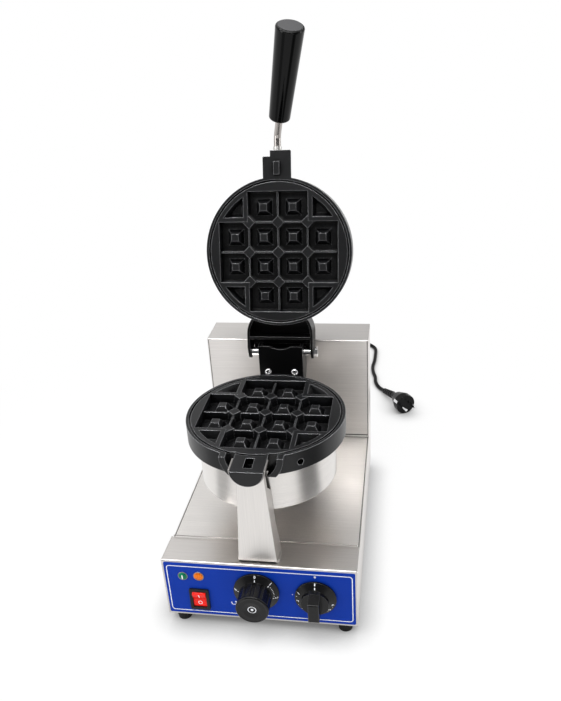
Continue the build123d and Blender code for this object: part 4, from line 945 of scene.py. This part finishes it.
def studio_floor():
    """A white floor that keeps the object's shadow, with a painted contact shadow round the object and two
    darker stretches that only metal mirrors.
    """
    right_way = (0.883, -0.469, 0)
    left_way = (-0.82, -0.572, 0)
    bm = bmesh.new()
    bmesh.ops.create_grid(bm, x_segments=1, y_segments=1, size=12.0)
    mesh = bpy.data.meshes.new("floor")
    bm.to_mesh(mesh)
    bm.free()
    floor = bpy.data.objects.new("floor", mesh)
    scene.collection.objects.link(floor)
    finish = Finish("floor_white", Roughness=0.9, Specular_IOR_Level=0.0)
    place = finish.place()
    distance = finish.node("ShaderNodeVectorMath", {"operation": "LENGTH"}, {0: place}, output="Value")
    white = (distance.held(*white_reach) * (1 - floor_share) + floor_share) * finish.seen()
    near = finish.open_to_air(shadow_reach, samples=16)
    glossy = finish.node("ShaderNodeLightPath", output="Is Glossy Ray")
    right_dark = finish.towards(place, right_way).held(0.93, 0.985)
    left_dark = finish.towards(place, left_way).held(0.965, 0.992)
    dark = glossy * distance.held(0.24, 0.32) * (right_dark * 0.8 + left_dark * 0.5)
    # Painted shadow: the floor's glow fades where the object stands close
    bright = (near.held(0.25, 0.95) * 0.85 + 0.15) * (1 - dark)
    finish.colour(finish.blend(dark, (0.82, 0.82, 0.82), (0.06, 0.06, 0.06)))
    plain = finish.node("ShaderNodeEmission", {}, {"Color": (1, 1, 1), "Strength": bright})
    lit = Wire(finish, finish.shader.outputs[0])
    surface = finish.node("ShaderNodeMixShader", {}, {0: white, 1: lit, 2: plain})
    finish.put(finish.tree.nodes["Material Output"].inputs["Surface"], surface)
    mesh.materials.append(finish.material)


def studio_air():
    """White all round, with a darker room in front, above and low behind for what the metal mirrors."""
    darkest = 0.1
    world = bpy.data.worlds.new("studio")
    scene.world = world
    air = Nodes(world)
    direction = air.node("ShaderNodeTexCoord", output="Generated")
    x, y, z = [air.node("ShaderNodeSeparateXYZ", {}, {0: direction}, output=axis) for axis in "XYZ"]
    front = (y * -1.0).held(-0.1, 0.55)
    above = z.held(0.70, 0.95)
    right = x.held(-0.40, 0.05)
    behind = y.held(0.2, 0.6) * z.held(0.15, 0.35)
    in_front = front * 0.86
    overhead = above * right * 0.7
    low_behind = behind * (right * 0.5 + 0.12)
    mirrored = (1 - in_front - overhead - low_behind).maths("MAXIMUM", darkest)
    glossy = air.node("ShaderNodeLightPath", output="Is Glossy Ray")
    seen = air.seen()
    plain = seen * (1 - diffuse_level) + diffuse_level
    strength = plain * (1 - glossy) + mirrored * glossy
    air.put(air.tree.nodes["Background"].inputs["Color"], (1, 1, 1))
    air.put(air.tree.nodes["Background"].inputs["Strength"], strength)


def studio_lamps():
    for name, place, width, height, power in (
        ("left_strip", (-1.3, -0.75, 0.75), 0.35, 1.5, 8.0),
        ("right_strip", (1.4, 0.3, 0.8), 0.3, 1.3, 4.0),
        ("front_strip", (-0.05, -0.75, 1.35), 1.5, 0.22, 12.0),
        ("top_strip", (0.0, -0.15, 1.6), 1.5, 0.22, 10.0),
        ("top_light", (0.1, 0.5, 1.9), 1.3, 1.3, 7.0),
    ):
        light = bpy.data.lights.new(name, "AREA")
        light.shape = "RECTANGLE"
        light.size = width
        light.size_y = height
        light.energy = power
        lamp = bpy.data.objects.new(name, light)
        scene.collection.objects.link(lamp)
        lamp.location = place
        lamp.rotation_euler = (Vector((0, 0, 0.25)) - Vector(place)).to_track_quat("-Z", "Y").to_euler()


def photo_camera():
    camera = bpy.data.cameras.new("camera")
    camera.sensor_fit = "HORIZONTAL"
    camera.sensor_width = camera_sensor
    camera.lens = camera_lens
    eye = bpy.data.objects.new("camera", camera)
    scene.collection.objects.link(eye)
    level_right = Vector((cos(camera_yaw), sin(camera_yaw), 0))
    forward = Vector(
        (-sin(camera_yaw) * cos(camera_pitch), cos(camera_yaw) * cos(camera_pitch), -sin(camera_pitch))
    )
    level_up = level_right.cross(forward)
    right = level_right * cos(camera_roll) + level_up * sin(camera_roll)
    up = level_up * cos(camera_roll) - level_right * sin(camera_roll)
    turn = Matrix((right, up, -forward)).transposed().to_4x4()
    eye.matrix_world = Matrix.Translation(camera_place) @ turn
    scene.camera = eye


studio_floor()
studio_air()
studio_lamps()
photo_camera()
scene.view_settings.view_transform = "Standard"
